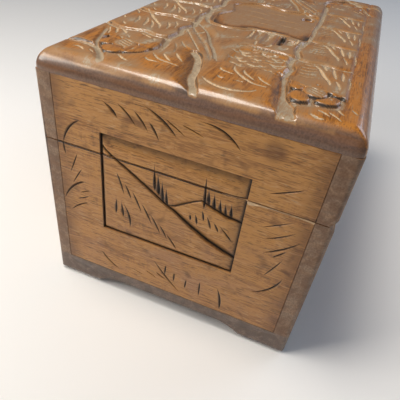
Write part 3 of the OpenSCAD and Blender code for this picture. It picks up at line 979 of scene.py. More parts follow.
@dataclass
class FrontCarving:
    """Knife work of the front: a wide sunk scene of a mountain range between sprays of leaf cuts."""

    panel_low: Point = (-79.0, 53.5)
    panel_high: Point = (79.0, 118.5)
    cuts: list[Groove | SunkPanel] = field(default_factory=list)

    def border(self) -> None:
        """Sink the four edges of the panel."""
        self.cuts.append(SunkPanel(self.panel_low, self.panel_high, (3.2, 5.5, 7, 2.6),
                                   (1.7, 1.6, 2.2, 1.8)))

    def hills(self) -> None:
        """Cut three overlapping hills, the middle one highest."""
        ranges = (
            [(8, 60), (36, 76), (52, 84), (78.5, 70)],
            [(-14, 92), (6, 106), (36, 76)],
            [(-78.5, 76), (-62, 82), (-44, 100), (-14, 92), (8, 60)],
        )
        for line in ranges:
            size = len(line)
            self.cuts.append(ridge_cut(line, 0.45, [3.2] * size, [1.6] * size,
                                       (self.panel_low, self.panel_high)))

    def trees(self) -> None:
        """Stand rows of pines on the hills."""
        rows = ((44, 82.5, 6), (-8, 99.5, 5), (-56, 94, 6))
        for first, foot, count in rows:
            for i in range(count):
                x = first + 3.0 * i
                top = foot + 17.0 - 2.2 * i
                self.cuts.append(knife_cut((x - 0.5, top), (x + 0.4, foot - 0.8 * i), 0, 1.7, 1.1, 0.72))

    def slopes(self) -> None:
        """Draw the tufts and the long cuts on the hillsides."""
        for i in range(9):
            x = -66.0 + 6.4 * i
            self.cuts.append(knife_cut((x, 80 - 1.9 * i), (x + 5, 69 - 1.5 * i), 0.3, 1.1, 0.75))
        for i in range(7):
            x = 20.0 + 6.5 * i
            foot = 61.0 + 0.8 * i
            self.cuts.append(knife_cut((x, foot + 7), (x + 1.6, foot), 0.2, 1.4, 0.85, 0.6))
        for i in range(6):
            x = -4.0 + 3.6 * i
            self.cuts.append(knife_cut((x, 92 - 1.6 * i), (x + 2.4, 82 - 1.6 * i), 0.2, 1.2, 0.8, 0.6))

    def spray(self, root: Point, turn: float, count: int, length: float, spread_angle: float) -> None:
        """Cut a spray of leaves.

        Args:
            root: Where the leaves come from.
            turn: The direction of the middle leaf, in degrees.
            count: How many leaves there are.
            length: The length of the middle leaf.
            spread_angle: The angle between the outer leaves, in degrees.
        """
        for i in range(count):
            share = i / (count - 1) - 0.5
            angle = math.radians(turn + share * spread_angle)
            reach = length * (1 - 0.8 * abs(share))
            near = (root[0] + 4.0 * math.cos(angle), root[1] + 4.0 * math.sin(angle))
            far = (root[0] + reach * math.cos(angle), root[1] + reach * math.sin(angle))
            self.cuts.append(knife_cut(near, far, 2.2 * share, 1.5, 0.9, 0.5))

    def leaf_cuts(self) -> None:
        """Cut the sprays beside, over and under the panel."""
        for side in (-1, 1):
            for height, turn in ((128, 12), (92, 0), (60, -8), (32, 10)):
                direction = turn if side > 0 else 180.0 - turn
                self.spray((side * 88, height), direction, 5, 26.0, 70.0)
            for offset in (18.0, 52.0):
                self.spray((side * offset, 130), 90.0 + side * 78.0, 4, 24.0, 50.0)
                self.spray((side * offset, 34), 90.0 + side * 84.0, 4, 26.0, 46.0)

    def build(self) -> list[Groove | SunkPanel]:
        """Return all the cuts of the face."""
        for work in (self.border, self.hills, self.trees, self.slopes, self.leaf_cuts):
            work()
        return self.cuts


def smooth_line(points: Sequence[Point], closed: bool, steps: int = 8) -> np.ndarray:
    """Run a smooth curve through points.

    Args:
        points: The points, in order.
        closed: Whether the curve comes back to its start.
        steps: How many pieces each stretch is drawn with.

    Returns:
        The points of the curve, the first one repeated at the end where it is closed.
    """
    place = np.array(points, dtype=float)
    count = len(place)
    if closed:
        padded = np.concatenate([place[-1:], place, place[:2]])
        stretches = count
    else:
        padded = np.concatenate([2 * place[:1] - place[1:2], place, 2 * place[-1:] - place[-2:-1]])
        stretches = count - 1
    t = np.linspace(0, 1, steps, endpoint=False)[:, None]
    parts = []
    for i in range(stretches):
        a, b, c, d = padded[i:i + 4]
        parts.append(0.5 * (2 * b + (c - a) * t + (2 * a - 5 * b + 4 * c - d) * t ** 2
                            + (3 * b - a - 3 * c + d) * t ** 3))
    parts.append(place[:1] if closed else place[-1:])
    return np.concatenate(parts)


@dataclass
class Relief:
    """A height map of the lid's top, in millimetres, on the unrolled surface of the board.

    Zero is the board's own surface. Places run over the rounded edges, so they reach a little past the
    board's own length and width. Lines of points are given as x along the lid and y across it, and the
    channels' points have a depth as well. Where the way is minus one instead of one, all work is turned
    half round about the lid's middle.
    """

    half_length: float
    half_width: float
    rounding: float
    step: float = 0.5
    way: int = 1

    def __post_init__(self) -> None:
        """Lay out the grid, uncut but for the slow waves that a scraper leaves."""
        arc = self.rounding * math.pi / 2
        self.reach_x = self.half_length - self.rounding + arc
        self.reach_y = self.half_width - self.rounding + arc
        columns = int(round(2 * self.reach_x / self.step)) + 1
        rows = int(round(2 * self.reach_y / self.step)) + 1
        self.x, self.y = np.meshgrid(np.linspace(-self.reach_x, self.reach_x, columns),
                                     np.linspace(-self.reach_y, self.reach_y, rows), indexing="ij")
        self.height = 0.16 * np.sin(self.x * 0.13 + 0.7) * np.sin(self.y * 0.16 + 0.4) - 0.18
        blotches = np.sin(self.x * 0.31 + 2.0 * np.sin(self.y * 0.17)) + np.sin(self.y * 0.37 + self.x * 0.11)
        mottled = 0.5 + 0.25 * blotches
        self.pale = np.clip((66.5 - self.y * np.sign(self.x)) / 2, 0.15, 1) * (0.24 + 0.34 * mottled)
        # Darkening of the relief: painted shade at the foot of banks and in deep hollow places, with some
        # stain.
        self.stain = np.zeros(self.x.shape)
        self.veins = np.zeros(self.x.shape)
        self.uncut = self.height.copy()

    def turned(self, points: Sequence[Sequence[float]], closed: bool = False,
               smooth: bool = True) -> np.ndarray:
        """Return a line through points, turned half round if the way says so.

        Args:
            points: Places, each with a depth if need be.
            closed: Whether the line comes back to its start.
            smooth: Whether it is a curve.

        Returns:
            The points of the line.
        """
        place = np.array(points, dtype=float)
        place[:, :2] *= self.way
        if smooth:
            return smooth_line(place, closed)
        return np.concatenate([place, place[:1]]) if closed else split_line(place, 1.0)

    def window(self, line: np.ndarray, margin: float) -> tuple[slice, slice]:
        """Return the part of the grid near a line.

        Args:
            line: The line.
            margin: How far from it still counts.

        Returns:
            The grid's rows and columns.
        """
        low = line.min(axis=0) - margin
        high = line.max(axis=0) + margin
        i = np.clip(((np.array([low[0], high[0]]) + self.reach_x) / self.step).astype(int) + [0, 2], 0, None)
        j = np.clip(((np.array([low[1], high[1]]) + self.reach_y) / self.step).astype(int) + [0, 2], 0, None)
        return slice(i[0], i[1]), slice(j[0], j[1])

    def distance(self, line: np.ndarray,
                 view: tuple[slice, slice]) -> tuple[np.ndarray, np.ndarray, np.ndarray]:
        """Return each place's distance to a line, how far along the nearest point is, and on which side.

        The way along runs from 0 to 1, and the side is positive on the left of a walk along the line.

        Args:
            line: The line.
            view: The part of the grid.

        Returns:
            The distances, the ways along and the sides.
        """
        x = self.x[view]
        y = self.y[view]
        best = np.full(x.shape, np.inf)
        along = np.zeros(x.shape)
        side = np.zeros(x.shape)
        pieces = len(line) - 1
        for i in range(pieces):
            a = line[i]
            step = line[i + 1] - a
            length2 = float(step @ step) + 1e-12
            t = np.clip(((x - a[0]) * step[0] + (y - a[1]) * step[1]) / length2, 0, 1)
            gap = np.hypot(x - a[0] - t * step[0], y - a[1] - t * step[1])
            closer = gap < best
            best = np.where(closer, gap, best)
            along = np.where(closer, (i + t) / pieces, along)
            side = np.where(closer, step[0] * (y - a[1]) - step[1] * (x - a[0]), side)
        return best, along, side

    def inside(self, line: np.ndarray, view: tuple[slice, slice]) -> np.ndarray:
        """Tell which places lie inside a closed line.

        Args:
            line: The line.
            view: The part of the grid.

        Returns:
            True inside.
        """
        x = self.x[view]
        y = self.y[view]
        odd = np.zeros(x.shape, dtype=bool)
        for a, b in zip(line[:-1], line[1:]):
            if a[1] == b[1]:
                continue
            crosses = (a[1] > y) != (b[1] > y)
            odd ^= crosses & (x < (b[0] - a[0]) * (y - a[1]) / (b[1] - a[1]) + a[0])
        return odd

    def channel(self, points: Sequence[tuple[float, float, float]], left: float, right: float,
                bottom: float = 1.4, pale_from: float = 0.75, stain: float = 0.0) -> None:
        """Cut a channel between two leaves, with a steep wall or a long slope on each side.

        Args:
            points: The line of its bottom, each point with its depth.
            left: Reach of the wall or slope on the left of the line.
            right: Reach of that on the right.
            bottom: Width of its flat bottom.
            pale_from: How far down its sides the bare wood begins, from 0 at the top to 1 at the bottom.
            stain: How dark the wall or slope on the left is at its foot, from 0 to 1, as painted shade and
                stain.
        """
        curve = self.turned(points)
        line = curve[:, :2]
        view = self.window(line, max(left, right) + bottom)
        gap, along, side = self.distance(line, view)
        reach = np.where(side > 0, left, right)
        share = np.clip(1 - (gap - bottom / 2) / reach, 0, 1)
        eased = np.where(reach > 1.5, share ** 1.5, share)
        depth = np.interp(along.ravel(), np.linspace(0, 1, len(curve)), curve[:, 2]).reshape(along.shape)
        self.height[view] = np.minimum(self.height[view], self.uncut[view] - depth * eased)
        bare = 0.72 * np.clip((share - pale_from) / 0.12, 0, 1) * np.clip(depth / 0.8, 0, 1)
        # Painted shade, with some stain, on the left flank towards its foot.
        if stain:
            flank = np.where((side > 0) & (gap > bottom / 2), share, 0) * np.clip(depth / 1.5, 0, 1)
            self.stain[view] = np.maximum(self.stain[view], stain * flank)
            self.pale[view] *= 1 - np.clip(flank * 2, 0, 1)
        self.pale[view] = np.maximum(self.pale[view], bare)

    def hollow(self, outline: Sequence[Point], depth: float, edge: float = 1.0, pale: float = 1.0,
               smooth: bool = True) -> None:
        """Cut a shape down below the board's surface.

        Args:
            outline: The shape's outline.
            depth: How deep it is cut.
            edge: How wide its walls are.
            pale: How pale its bottom is.
            smooth: Whether the outline is a curve through the points.
        """
        line = self.turned(outline, True, smooth)
        view = self.window(line, 1.0)
        gap, *_ = self.distance(line, view)
        share = np.where(self.inside(line, view), np.clip(gap / edge, 0, 1), 0)
        self.height[view] = np.minimum(self.height[view], self.uncut[view] - depth * share)
        bare = np.clip((share - 0.6) / 0.4, 0, 1)
        self.pale[view] = np.where(bare > 0, pale * bare, self.pale[view])

    def leave(self, outline: Sequence[Point], level: float = 0.0, dome: float = 0.5, edge: float = 4.0,
              smooth: bool = True, wall: float = 0.7, pale: float = 0.15) -> None:
        """Leave a shape standing in a hollow.

        Args:
            outline: The shape's outline.
            level: The height of its middle.
            dome: How far its surface falls towards its edge.
            edge: Over what distance it falls.
            smooth: Whether the outline is a curve through the points.
            wall: How wide its upright side is.
            pale: How far its surface is rubbed, from 0 to 1.
        """
        line = self.turned(outline, True, smooth)
        view = self.window(line, 1.5)
        gap, *_ = self.distance(line, view)
        inner = self.inside(line, view)
        depth = self.height[view]
        top = self.uncut[view] + level - dome * np.clip(1 - gap / edge, 0, 1) ** 2
        rise = np.clip(1 - np.where(inner, 0, gap) / wall, 0, 1)
        shape = depth + (top - depth) * rise
        higher = (shape > depth) & (rise > 0)
        self.height[view] = np.where(higher, shape, depth)
        self.pale[view] = np.where(higher,
                                   self.pale[view] + (pale - self.pale[view]) * np.clip(rise * 1.5, 0, 1),
                                   self.pale[view])

    def varnish(self, middle: Point, half_size: Point, strength: float = 1.0) -> None:
        """Leave the orange varnish unrubbed in a pool, given by its middle and its half length and width."""
        x, y = self.way * middle[0], self.way * middle[1]
        gap = np.hypot((self.x - x) / half_size[0], (self.y - y) / half_size[1])
        self.pale *= 1 - strength * np.clip(1.6 - gap, 0, 1)

    def shade_and_stain_round(self, middle: Point, radius: float, strength: float) -> None:
        """Darken the wood round a place, most in the middle, as painted shade and stain."""
        gap = np.hypot(self.x - self.way * middle[0], self.y - self.way * middle[1])
        self.stain = np.maximum(self.stain, strength * np.clip(1.3 - gap / radius, 0, 1))

    def gouge(self, points: Sequence[Point], width: float = 1.4, depth: float = 0.7, pale: float = 0.95,
              thick: float = 0.5) -> None:
        """Cut a veining tool's groove, tapered at both ends.

        Args:
            points: The line of the groove.
            width: Its greatest width.
            depth: Its greatest depth.
            pale: How pale the bare wood shows in it, from 0 to 1.
            thick: How far along it is widest, from 0 to 1.
        """
        line = self.turned(points, smooth=len(points) > 2)
        view = self.window(line, width)
        gap, along, _ = self.distance(line, view)
        swell = np.sin(math.pi * np.clip(along, 0, 1) ** (math.log(0.5) / math.log(thick))) ** 0.6
        half = np.maximum(width * 0.44 * swell, 1e-6)
        share = np.clip(1 - (gap / half) ** 2, 0, 1)
        self.veins[view] = np.minimum(self.veins[view], -depth * swell * share)
        self.pale[view] = np.maximum(self.pale[view], pale * np.clip(share * 2.2, 0, 1))


@dataclass
class LidCarving:
    """The relief on top of the lid: leaves and blossoms round a pavilion by a lake.

    The leaves fill the board's surface, and the carver parted them by channels with one steep wall.
    """

    relief: Relief
    front_pitch: float = 40.4
    back_pitch: float = 39.6

    def end_leaves(self) -> None:
        """Part the lobed leaves along one end, and cut their veins."""
        r = self.relief
        r.channel([(109.2, -77, 3), (109, -72, 2.4), (109.2, -66, 1.9), (110.2, -60, 1.8),
                   (112.5, -55.5, 1.9), (117, -51.5, 1.9), (121, -48.5, 1.7), (126, -46, 1),
                   (129, -44, 0.2)],
                  1.5, 4.5, 1.2, 0.5, 0.85)
        r.channel([(111, -57, 1.8), (107, -60, 1.6), (103, -62, 1.4), (96, -64.3, 1.2), (90, -66, 1),
                   (84, -68, 0.8), (78, -70, 0.2)], 1.2, 0.9, 1.2, 0.6)
        r.channel([(136, 4, 3.6), (131, 2.6, 3.1), (127, 1.2, 2.8), (122, -1.2, 2.6), (117, -3.2, 2.5),
                   (111, -4.2, 2.4), (105, -5.4, 2.4), (99, -7.2, 2.4), (94, -8.8, 2.4), (90.5, -10.6, 2.1),
                   (88, -13.5, 1.2)], 9.0, 0.7, 3.2, 0.86, 0.6)
        r.channel([(135, 43.8, 3.4), (130, 42.2, 2.8), (125, 40.3, 2.4), (118, 38.6, 2.2), (110, 37.2, 2.2),
                   (101, 35.6, 2), (94, 34.4, 2), (88, 33.6, 1.6)], 5.0, 0.6, 0.8, 1.0, 0.35)
        outline = [(135, 40.5), (130, 39.2), (125, 38.4), (118, 37.6), (110, 36.8), (101, 35.4), (95, 34.2),
                   (88, 33.3), (86.4, 36.8), (91, 38), (96, 38.4), (101, 39), (107, 40.4), (112, 41.4),
                   (116, 43.8), (119.5, 46.5), (124, 47.2), (129, 48.4), (135, 50.5)]
        r.hollow(outline, 2.6, 0.9, 0.66)
        r.shade_and_stain_round((90.5, 36), 4.5, 0.8)
        for points, width in (
            ([(118.5, -66), (118, -62.5), (121, -58.5)], 1.9), ([(117.5, -57.5), (121, -53)], 1.6),
            ([(115.5, -43), (118.5, -39), (120.3, -35)], 2),
            ([(110.5, -30.8), (112.8, -28), (112.8, -22)], 1.9),
            ([(103.8, -29.5), (108.5, -24.8), (110.2, -18), (111, -12.5)], 1.8),
            ([(101.2, -25), (105, -21.7), (108.3, -18.3)], 2),
            ([(96.3, -20.4), (100, -17.5), (104, -13.8)], 2),
            ([(116.3, 1.3), (119.6, 5), (122.2, 11), (122.7, 16.5), (120.7, 22.5), (118, 26), (115.3, 27.3)],
             2.4),
            ([(110, 7), (112, 8.3), (111.5, 11)], 1.5), ([(100.3, 4.6), (103, 7), (104.6, 13.5)], 1.9),
            ([(93.5, 10.2), (99, 12), (103.6, 16), (107.6, 21), (109.7, 25.5), (109.6, 32)], 2.2),
            ([(96.3, 15.8), (99.3, 17.2), (102.2, 20), (105.8, 24)], 2),
            ([(99.8, 24), (103.2, 27), (107, 32)], 2), ([(111, 15), (110.5, 20)], 1.2),
            ([(125.3, 53), (127, 56), (127, 59.5)], 1.7), ([(120, 55.5), (121.3, 58.5), (124, 61)], 1.7),
            ([(119.5, 60), (122.5, 63.5), (125.5, 66)], 1.6),
            ([(113.5, 62.5), (117, 65), (119.5, 66.8)], 1.6),
            ([(111, 69.5), (115.5, 72.5)], 1.4), ([(92, -62.5), (86, -65), (79, -68.5)], 1.5),
            ([(88.5, -59.5), (83, -62), (77.5, -65)], 2), ([(85.5, -55.3), (82.5, -57.5), (79.5, -61)], 2),
            ([(83.5, -41), (81, -45), (80, -49)], 1.7), ([(86, -38), (82.5, -39.5)], 1.6),
        ):
            r.gouge(points, width, 0.75, 0.95, 0.45)

    def left_blossom(self) -> None:
        """Sink the ground beside the larger blossom and leave its petals and its button standing."""
        r = self.relief
        ground = [(116.5, -51), (116, -45), (112.8, -40.8), (108.5, -36), (103, -32.3), (97, -30.8),
                  (89, -30.6), (86, -33), (89, -36.5), (95, -40), (94, -47), (93, -53), (91, -58),
                  (94, -62), (100, -61.8), (106, -59.3), (112, -56)]
        r.hollow(ground, 2.1, 1.0, 0.64)
        petals = (
            [(114, -50.5), (112.2, -46.3), (107.5, -45.2), (104.3, -48), (103.9, -52.6), (106, -55.8),
             (111, -55)],
            [(104.6, -57.6), (102, -60.4), (97.5, -60.4), (94, -57.5), (96.5, -54), (102, -53.6)],
            [(109.6, -43.6), (108.4, -40), (104.3, -36.3), (99, -35), (96.5, -39), (99.5, -43.5), (105, -45)],
            [(97, -34.6), (92, -33.4), (86.5, -34.5), (84.5, -39), (88, -43), (94, -42.4), (97.4, -39)],
            [(94.4, -60), (88.5, -59), (84.5, -53.5), (87, -49.5), (92.6, -50), (95.6, -54.6)],
        )
        for petal in petals:
            r.leave(petal, 0.0, 0.4, 3.5)
        r.shade_and_stain_round((115.2, -45.6), 2.6, 0.85)
        for points in ([(106.5, -41.5), (102, -41)], [(92, -37.5), (93.5, -41)],
                       [(91.5, -55.5), (93.5, -52.5)],
                       [(88, -38), (90, -41)], [(88, -52), (91, -50.5)]):
            r.gouge(points, 1.5, 0.5, 0.7)
        self.button((98.3, -48.3), 6.3)

    def right_blossom(self) -> None:
        """Sink the ground beside the smaller blossom and leave its petals and its button standing."""
        r = self.relief
        ground = [(120, 45), (119.4, 50), (117, 55), (116.6, 60), (114.6, 64.4), (110, 66.6), (104, 67),
                  (99, 66), (97.5, 62), (97, 57), (96.6, 52), (96.6, 46), (94, 41.5), (95, 38), (100, 39),
                  (105, 40.4), (111, 40.4), (116, 42.6)]
        r.hollow(ground, 2.2, 1.0, 0.64)
        petals = (
            [(114.6, 46), (113, 49.6), (109.5, 50.4), (106.3, 48.6), (103.9, 45.6), (104.6, 42.4),
             (109, 41.4), (113, 42.8)],
            [(110.8, 54.5), (111, 58.6), (108.4, 62.6), (103.6, 63.8), (101, 61.2), (103.2, 58.4),
             (106.6, 55.6), (109, 53.2)],
            [(102.2, 43), (100.6, 40.6), (97, 39.4), (93.5, 39.8), (91.5, 42.6), (94, 45.4), (98, 45.8),
             (101, 45)],
            [(99.4, 61.2), (97.5, 64.2), (93, 64.6), (90.2, 62), (90.2, 58.4), (93, 57), (96.4, 58.6)],
            [(93, 46.8), (89, 47.6), (87.4, 52), (89.2, 56), (92.6, 55.2), (93.2, 51)],
        )
        for petal in petals:
            r.leave(petal, 0.0, 0.4, 3.5)
        for points in ([(106, 60), (103.8, 59.3)], [(96.5, 42.5), (97, 45)], [(94, 61.5), (95.5, 59.3)],
                       [(90, 52), (93, 51.5)]):
            r.gouge(points, 1.5, 0.5, 0.7)
        self.button((100.2, 51.8), 5.6)

    def button(self, centre: Point, radius: float) -> None:
        """Leave a blossom's button standing, rubbed pale and hatched.

        Args:
            centre: Its middle.
            radius: Its radius.
        """
        r = self.relief
        cx, cy = centre
        turn = np.linspace(0, 2 * math.pi, 14, endpoint=False)
        r.leave([(cx + radius * math.cos(a), cy + radius * math.sin(a)) for a in turn], -0.1, 0.4, 2.5)
        gap = np.hypot(r.x - r.way * cx, r.y - r.way * cy)
        r.pale = np.maximum(r.pale, 0.5 * np.clip((radius - gap) / 1, 0, 1))
        lines = int(radius * 0.7)
        for i in range(lines):
            offset = (i - (lines - 1) / 2) * 2.6
            run = math.sqrt(max(radius ** 2 - offset ** 2, 1)) * 0.75
            r.gouge([(cx + offset - 0.5 * run, cy - run), (cx + offset + 0.5 * run, cy + run)], 1.1, 0.5,
                    0.78)

    def front_column(self) -> None:
        """Part the broad leaves along the front from the middle and from each other, and cut their veins."""
        r = self.relief
        r.channel([(95, -30.8, 1.9), (86, -31.8, 2.1), (80, -33.2, 2.1), (74, -34.2, 2), (68, -33, 2),
                   (62, -32.6, 1.9), (56, -34.4, 1.8), (50, -33.5, 1.7), (44, -31.5, 1.8), (38, -33, 1.8),
                   (30, -34, 1.7), (20, -35.5, 1.6), (8, -34.5, 1.6), (-6, -36, 1.6), (-20, -34, 1.6),
                   (-36, -36.5, 1.6), (-50, -34, 1.6), (-66, -36.5, 1.6), (-86, -34, 1.8), (-95, -33, 1.6)],
                  0.8, 2.2, 2.6, 0.65)
        for i in range(4):
            shift = -self.front_pitch * i
            r.channel([(70.5 + shift, -77, 2.8), (73.5 + shift, -71, 2), (76.3 + shift, -66, 1.7),
                       (76.8 + shift, -60, 1.7), (75.4 + shift, -54, 1.6), (74 + shift, -48.5, 1.6),
                       (76.2 + shift, -43, 1.7), (75.5 + shift, -38, 1.7), (74 + shift, -34.5, 1.8)],
                      1.6, 3.4, 1.6, 0.15)
            for points, width in (
                ([(31, -69), (38, -63.5), (45, -59), (52, -53), (58, -48), (65.5, -45)], 2.6),
                ([(65, -61), (60, -62), (55, -63), (50, -65.5)], 2),
                ([(66.5, -54.8), (60, -56), (55, -57.5), (49, -60)], 2.3),
                ([(67.5, -49), (62, -51), (57, -53), (52, -56)], 2.1), ([(71, -63.5), (66.5, -67.5)], 1.7),
                ([(63, -41.5), (55, -43), (49, -46.5)], 1.8), ([(58, -38.5), (50, -40), (45, -43)], 1.6),
                ([(46, -68), (41, -70.5), (37, -74)], 1.6), ([(60, -70), (55, -73)], 1.5),
            ):
                r.gouge([(x + shift, y) for x, y in points], width, 0.85, 0.95, 0.5)

    def back_column(self) -> None:
        """Part the leaves along the back from the middle, the border and each other, and hatch them."""
        r = self.relief
        r.channel([(91, 36.3, 2.2), (84, 35.5, 2), (78, 36.6, 1.8), (73, 35, 1.8), (66, 34, 1.8),
                   (60, 34.5, 1.8), (57, 36.6, 1.8), (51, 35, 1.7), (44, 33.6, 1.7), (36, 34.6, 1.7),
                   (24, 36.2, 1.8), (10, 36.8, 1.8), (-10, 36.4, 1.7), (-30, 37, 1.8), (-60, 36, 1.7),
                   (-84, 35, 1.7), (-92, 33, 1.6)],
                  2.2, 0.8, 2.0, 0.6)
        r.channel([(112, 67.6, 0.3), (104, 67.2, 0.9), (60, 66.8, 1), (0, 67, 1), (-70, 66.8, 1),
                   (-124, 67, 0.8), (-130, 67.5, 0.1)], 2.4, 1.2, 0.4, 2.0)
        for i in range(4):
            shift = -self.back_pitch * i
            r.channel([(60.5 + shift, 36, 0.9), (62.5 + shift, 42, 1.3), (60.5 + shift, 50, 1.3),
                       (62 + shift, 58, 1.3), (61 + shift, 66, 0.6)], 2.2, 2.6, 0.6, 0.7)
            for points, width in (
                ([(89, 56.8), (84, 56), (78, 53), (72, 50.8), (67, 48), (64.5, 45)], 2.7),
                ([(78.7, 59), (74, 58), (69, 57), (63.5, 56)], 2.2),
                ([(88, 66), (80, 66.2), (72, 65.3)], 1.8),
                ([(69.5, 53.2), (65, 51.5), (61.8, 50.3)], 1.9), ([(80, 62.5), (73, 62), (67, 61.3)], 2),
                ([(92, 62), (86, 61), (81, 59)], 1.6),
            ):
                r.gouge([(x + shift, y) for x, y in points], width, 0.85, 0.95, 0.45)
            for k in range(5):
                x = 85.0 - 4.4 * k + shift
                r.gouge([(x, 39.6), (x - 0.4, 45), (x - 2.6, 50.6 - 0.6 * k)], 1.3, 0.6, 0.7 + 0.05 * k,
                        0.4)

    def long_leaf(self) -> None:
        """Part the long slanting leaf from the middle, cut its rib and hatch it on one side."""
        r = self.relief
        r.channel([(90, -1.5, 1.2), (83, -4.3, 1.3), (76, -7.6, 1.3), (68, -12, 1.5), (60, -15.3, 2.3),
                   (54, -17.8, 2.7), (49, -21, 1.8), (43, -26, 1.2), (38, -30.5, 0.8)], 0.9, 5.0,
                  1.2, 0.8)
        r.shade_and_stain_round((55, -16.5), 5.0, 0.55)
        r.gouge([(95, -2.5), (88, -5.5), (80, -9.8), (72, -14.4), (62, -20.9), (52, -28), (43, -31.8)],
                3.2, 0.9, 0.6, 0.5)
        for i in range(9):
            x = 84 - 3.1 * i
            y = -8.2 - 1.95 * i
            r.gouge([(x + 1.6, y - 3.4), (x - 1.4, y - 6), (x - 5.2, y - 7.8)], 1.2, 0.6,
                    0.8, 0.4)
        r.gouge([(97, -22), (88, -24), (80, -28)], 1.5, 0.6, 0.6)
        r.gouge([(86, -17.5), (82, -22), (76, -26)], 1.8, 0.7, 0.8)

    def bush(self) -> None:
        """Thin the ground beside the pavilion and scoop it in short uneven strokes, as a bush's leaves."""
        r = self.relief
        ground = [(90, 4), (91, 14), (90.5, 25), (89, 32), (80, 33), (68, 32.5), (62, 31), (62, 20),
                  (62, 8), (66, 3), (76, 2), (84, 2)]
        r.hollow(ground, 0.9, 3.0, 0.42)
        for row in range(9):
            for k in range(5):
                swing = math.sin(2.1 * row + 1.7 * k)
                x = 88.5 - 3.2 * row + 1.2 * swing
                y = 3.2 + 6.1 * k + 2.4 * math.sin(1.9 * row)
                reach = 5.4 + 1.6 * math.sin(3.1 * k + row)
                stroke = [(x, y), (x + 1.4 * swing + 0.7, y + reach / 2), (x + 0.9 * swing - 0.9, y + reach)]
                r.gouge(stroke, 2.3 + 0.6 * swing, 0.7, 0.66 + 0.26 * swing, 0.4)

    def pavilion(self) -> None:
        """Cut the posts and the open bays under the pavilion's roof, and its hatched ridge."""
        r = self.relief
        for left, right, near, far, depth, pale in ((10.5, 16, 50, 25, 1.1, 0.55),
                                                    (4.2, 8.2, 46, 25, 1, 0.6),
                                                    (17.8, 20, 47, 26, 1.2, 0.35),
                                                    (24.2, 29.5, 42, 31, 1.4, 0.7)):
            r.hollow([(near, left), (near, right), (far, right), (far, left)], depth, 0.9, pale, False)
        r.hollow([(45, 20.8), (44, 23.6), (33, 24), (29, 23.6), (28, 20.6), (36, 20.3)], 2.9, 0.9, 0.0)
        r.shade_and_stain_round((36, 22.2), 4.5, 0.6)
        r.shade_and_stain_round((29.5, 23.5), 3.6, 0.8)
        r.gouge([(43, 24), (40, 28), (33, 30.5), (27, 30.5)], 2.2, 0.8, 1.0)
        for i in range(9):
            r.gouge([(61.2, 11.5 + 1.9 * i), (57.6, 11.2 + 1.9 * i)], 1.3, 0.5, 0.8)
        r.channel([(60.5, 3, 0.8), (57.5, 7, 1), (56.5, 14, 1), (56.5, 24, 1), (58, 30, 1), (60, 33, 0.6)],
                  0.8, 1.6, 1.2, 0.6)
        r.shade_and_stain_round((53, 5.5), 3.4, 0.7)
        r.shade_and_stain_round((48.5, 2.8), 2.6, 0.6)
        for points, width in (([(55, 10), (51, 9.5), (47, 9.2)], 2),
                              ([(54.5, 15), (51, 17.5), (46, 18.5)], 2),
                              ([(46, 2.3), (38, 3), (27, 2.6)], 2),
                              ([(53.5, 24.5), (49.5, 27), (46, 28)], 2),
                              ([(44, 32.3), (36, 33), (28, 33.2)], 1.8), ([(40, 13), (26, 13.4)], 1.6)):
            r.gouge(points, width, 0.7, 0.9)
        r.gouge([(53, -8), (49, -5), (46, -2)], 2.0, 0.7, 0.8)
        r.gouge([(60, -25.5), (55, -22.5), (51, -21.5)], 2.0, 0.7, 0.8)

    def lake(self) -> None:
        """Cut the smooth water down, deepest under the near bank, and set trees on the farther bank."""
        r = self.relief
        r.hollow([(29, -21), (30.5, -14), (27, -5), (22, -0.5), (21.5, 10), (21.5, 23), (24.5, 26),
                  (23.5, 35.4), (-6, 35), (-24, 35), (-40, 34), (-46, 24), (-42, 8), (-47, -6), (-44, -18),
                  (-30, -28), (-12, -24), (4, -29), (20, -29)], 1.4, 1.2, 0.46)
        # Painted shade darkens the water along the foot of the near bank.
        r.channel([(6, -29.5, 0.3), (22, -27, 1.6), (27.5, -22, 2.8), (29, -15, 3.4), (26, -6.5, 3.3),
                   (20, -1.5, 2.7), (19, 8, 2.1), (19, 18, 2.1), (21, 25, 2.8), (21, 31, 3.2),
                   (18, 35, 2.6), (8, 36, 0.6)],
                  8.5, 0.9, 1.0, 2.0, 0.85)
        r.channel([(2, -33, 0.2), (20, -31, 0.9), (30, -26, 1.2), (33.5, -16, 1.2), (30.5, -5, 1.2),
                   (25, 1.5, 1.1), (24.5, 12, 0.9), (24.5, 22, 0.6)], 1.0, 1.6, 1.6, 0.3)
        for x, low, high in ((4, -8, 12), (-2, 10, 30), (-9, -14, 6), (-15, 4, 26), (-22, -18, 2),
                             (-28, -4, 14),
                             (-35, -20, -6)):
            r.gouge([(x, low), (x - 1, (low + high) / 2), (x + 0.4, high)], 1.3, 0.35, 0.6)
        r.hollow([(-27, 23), (-27, 31), (-32, 32.5), (-38, 31), (-38, 25), (-33, 22)], 3.2, 1.6, 0.0)
        for i in range(8):
            y = -22 + 7.2 * i
            top = -58 - 3.0 * math.sin(1.7 * i)
            r.gouge([(-47, y), (top, y + 1.2)], 2.6, 1.1, 0.7, 0.3)
            r.gouge([(-50, y + 3), (top + 4, y + 3.6)], 1.8, 0.8, 0.9, 0.3)

    def pools(self) -> None:
        """Leave varnish where hands don't reach: low on the lobes, by the channels and along the border."""
        for middle, half_size, strength in (
            ((113, -20), (9, 11), 0.9), ((107, 8), (10, 7), 0.9), ((108, 24), (13, 8), 0.7),
            ((110, 35), (22, 3), 1),
            ((84, 36.5), (5, 3), 1), ((92, -66), (16, 6), 0.9), ((119, -66), (4, 5), 0.8),
            ((126, 62), (6, 12), 0.7),
            ((64, 63), (8, 5), 0.6), ((45, 62), (6, 6), 0.5), ((40, -66), (9, 6), 0.5),
        ):
            self.relief.varnish(middle, half_size, strength)

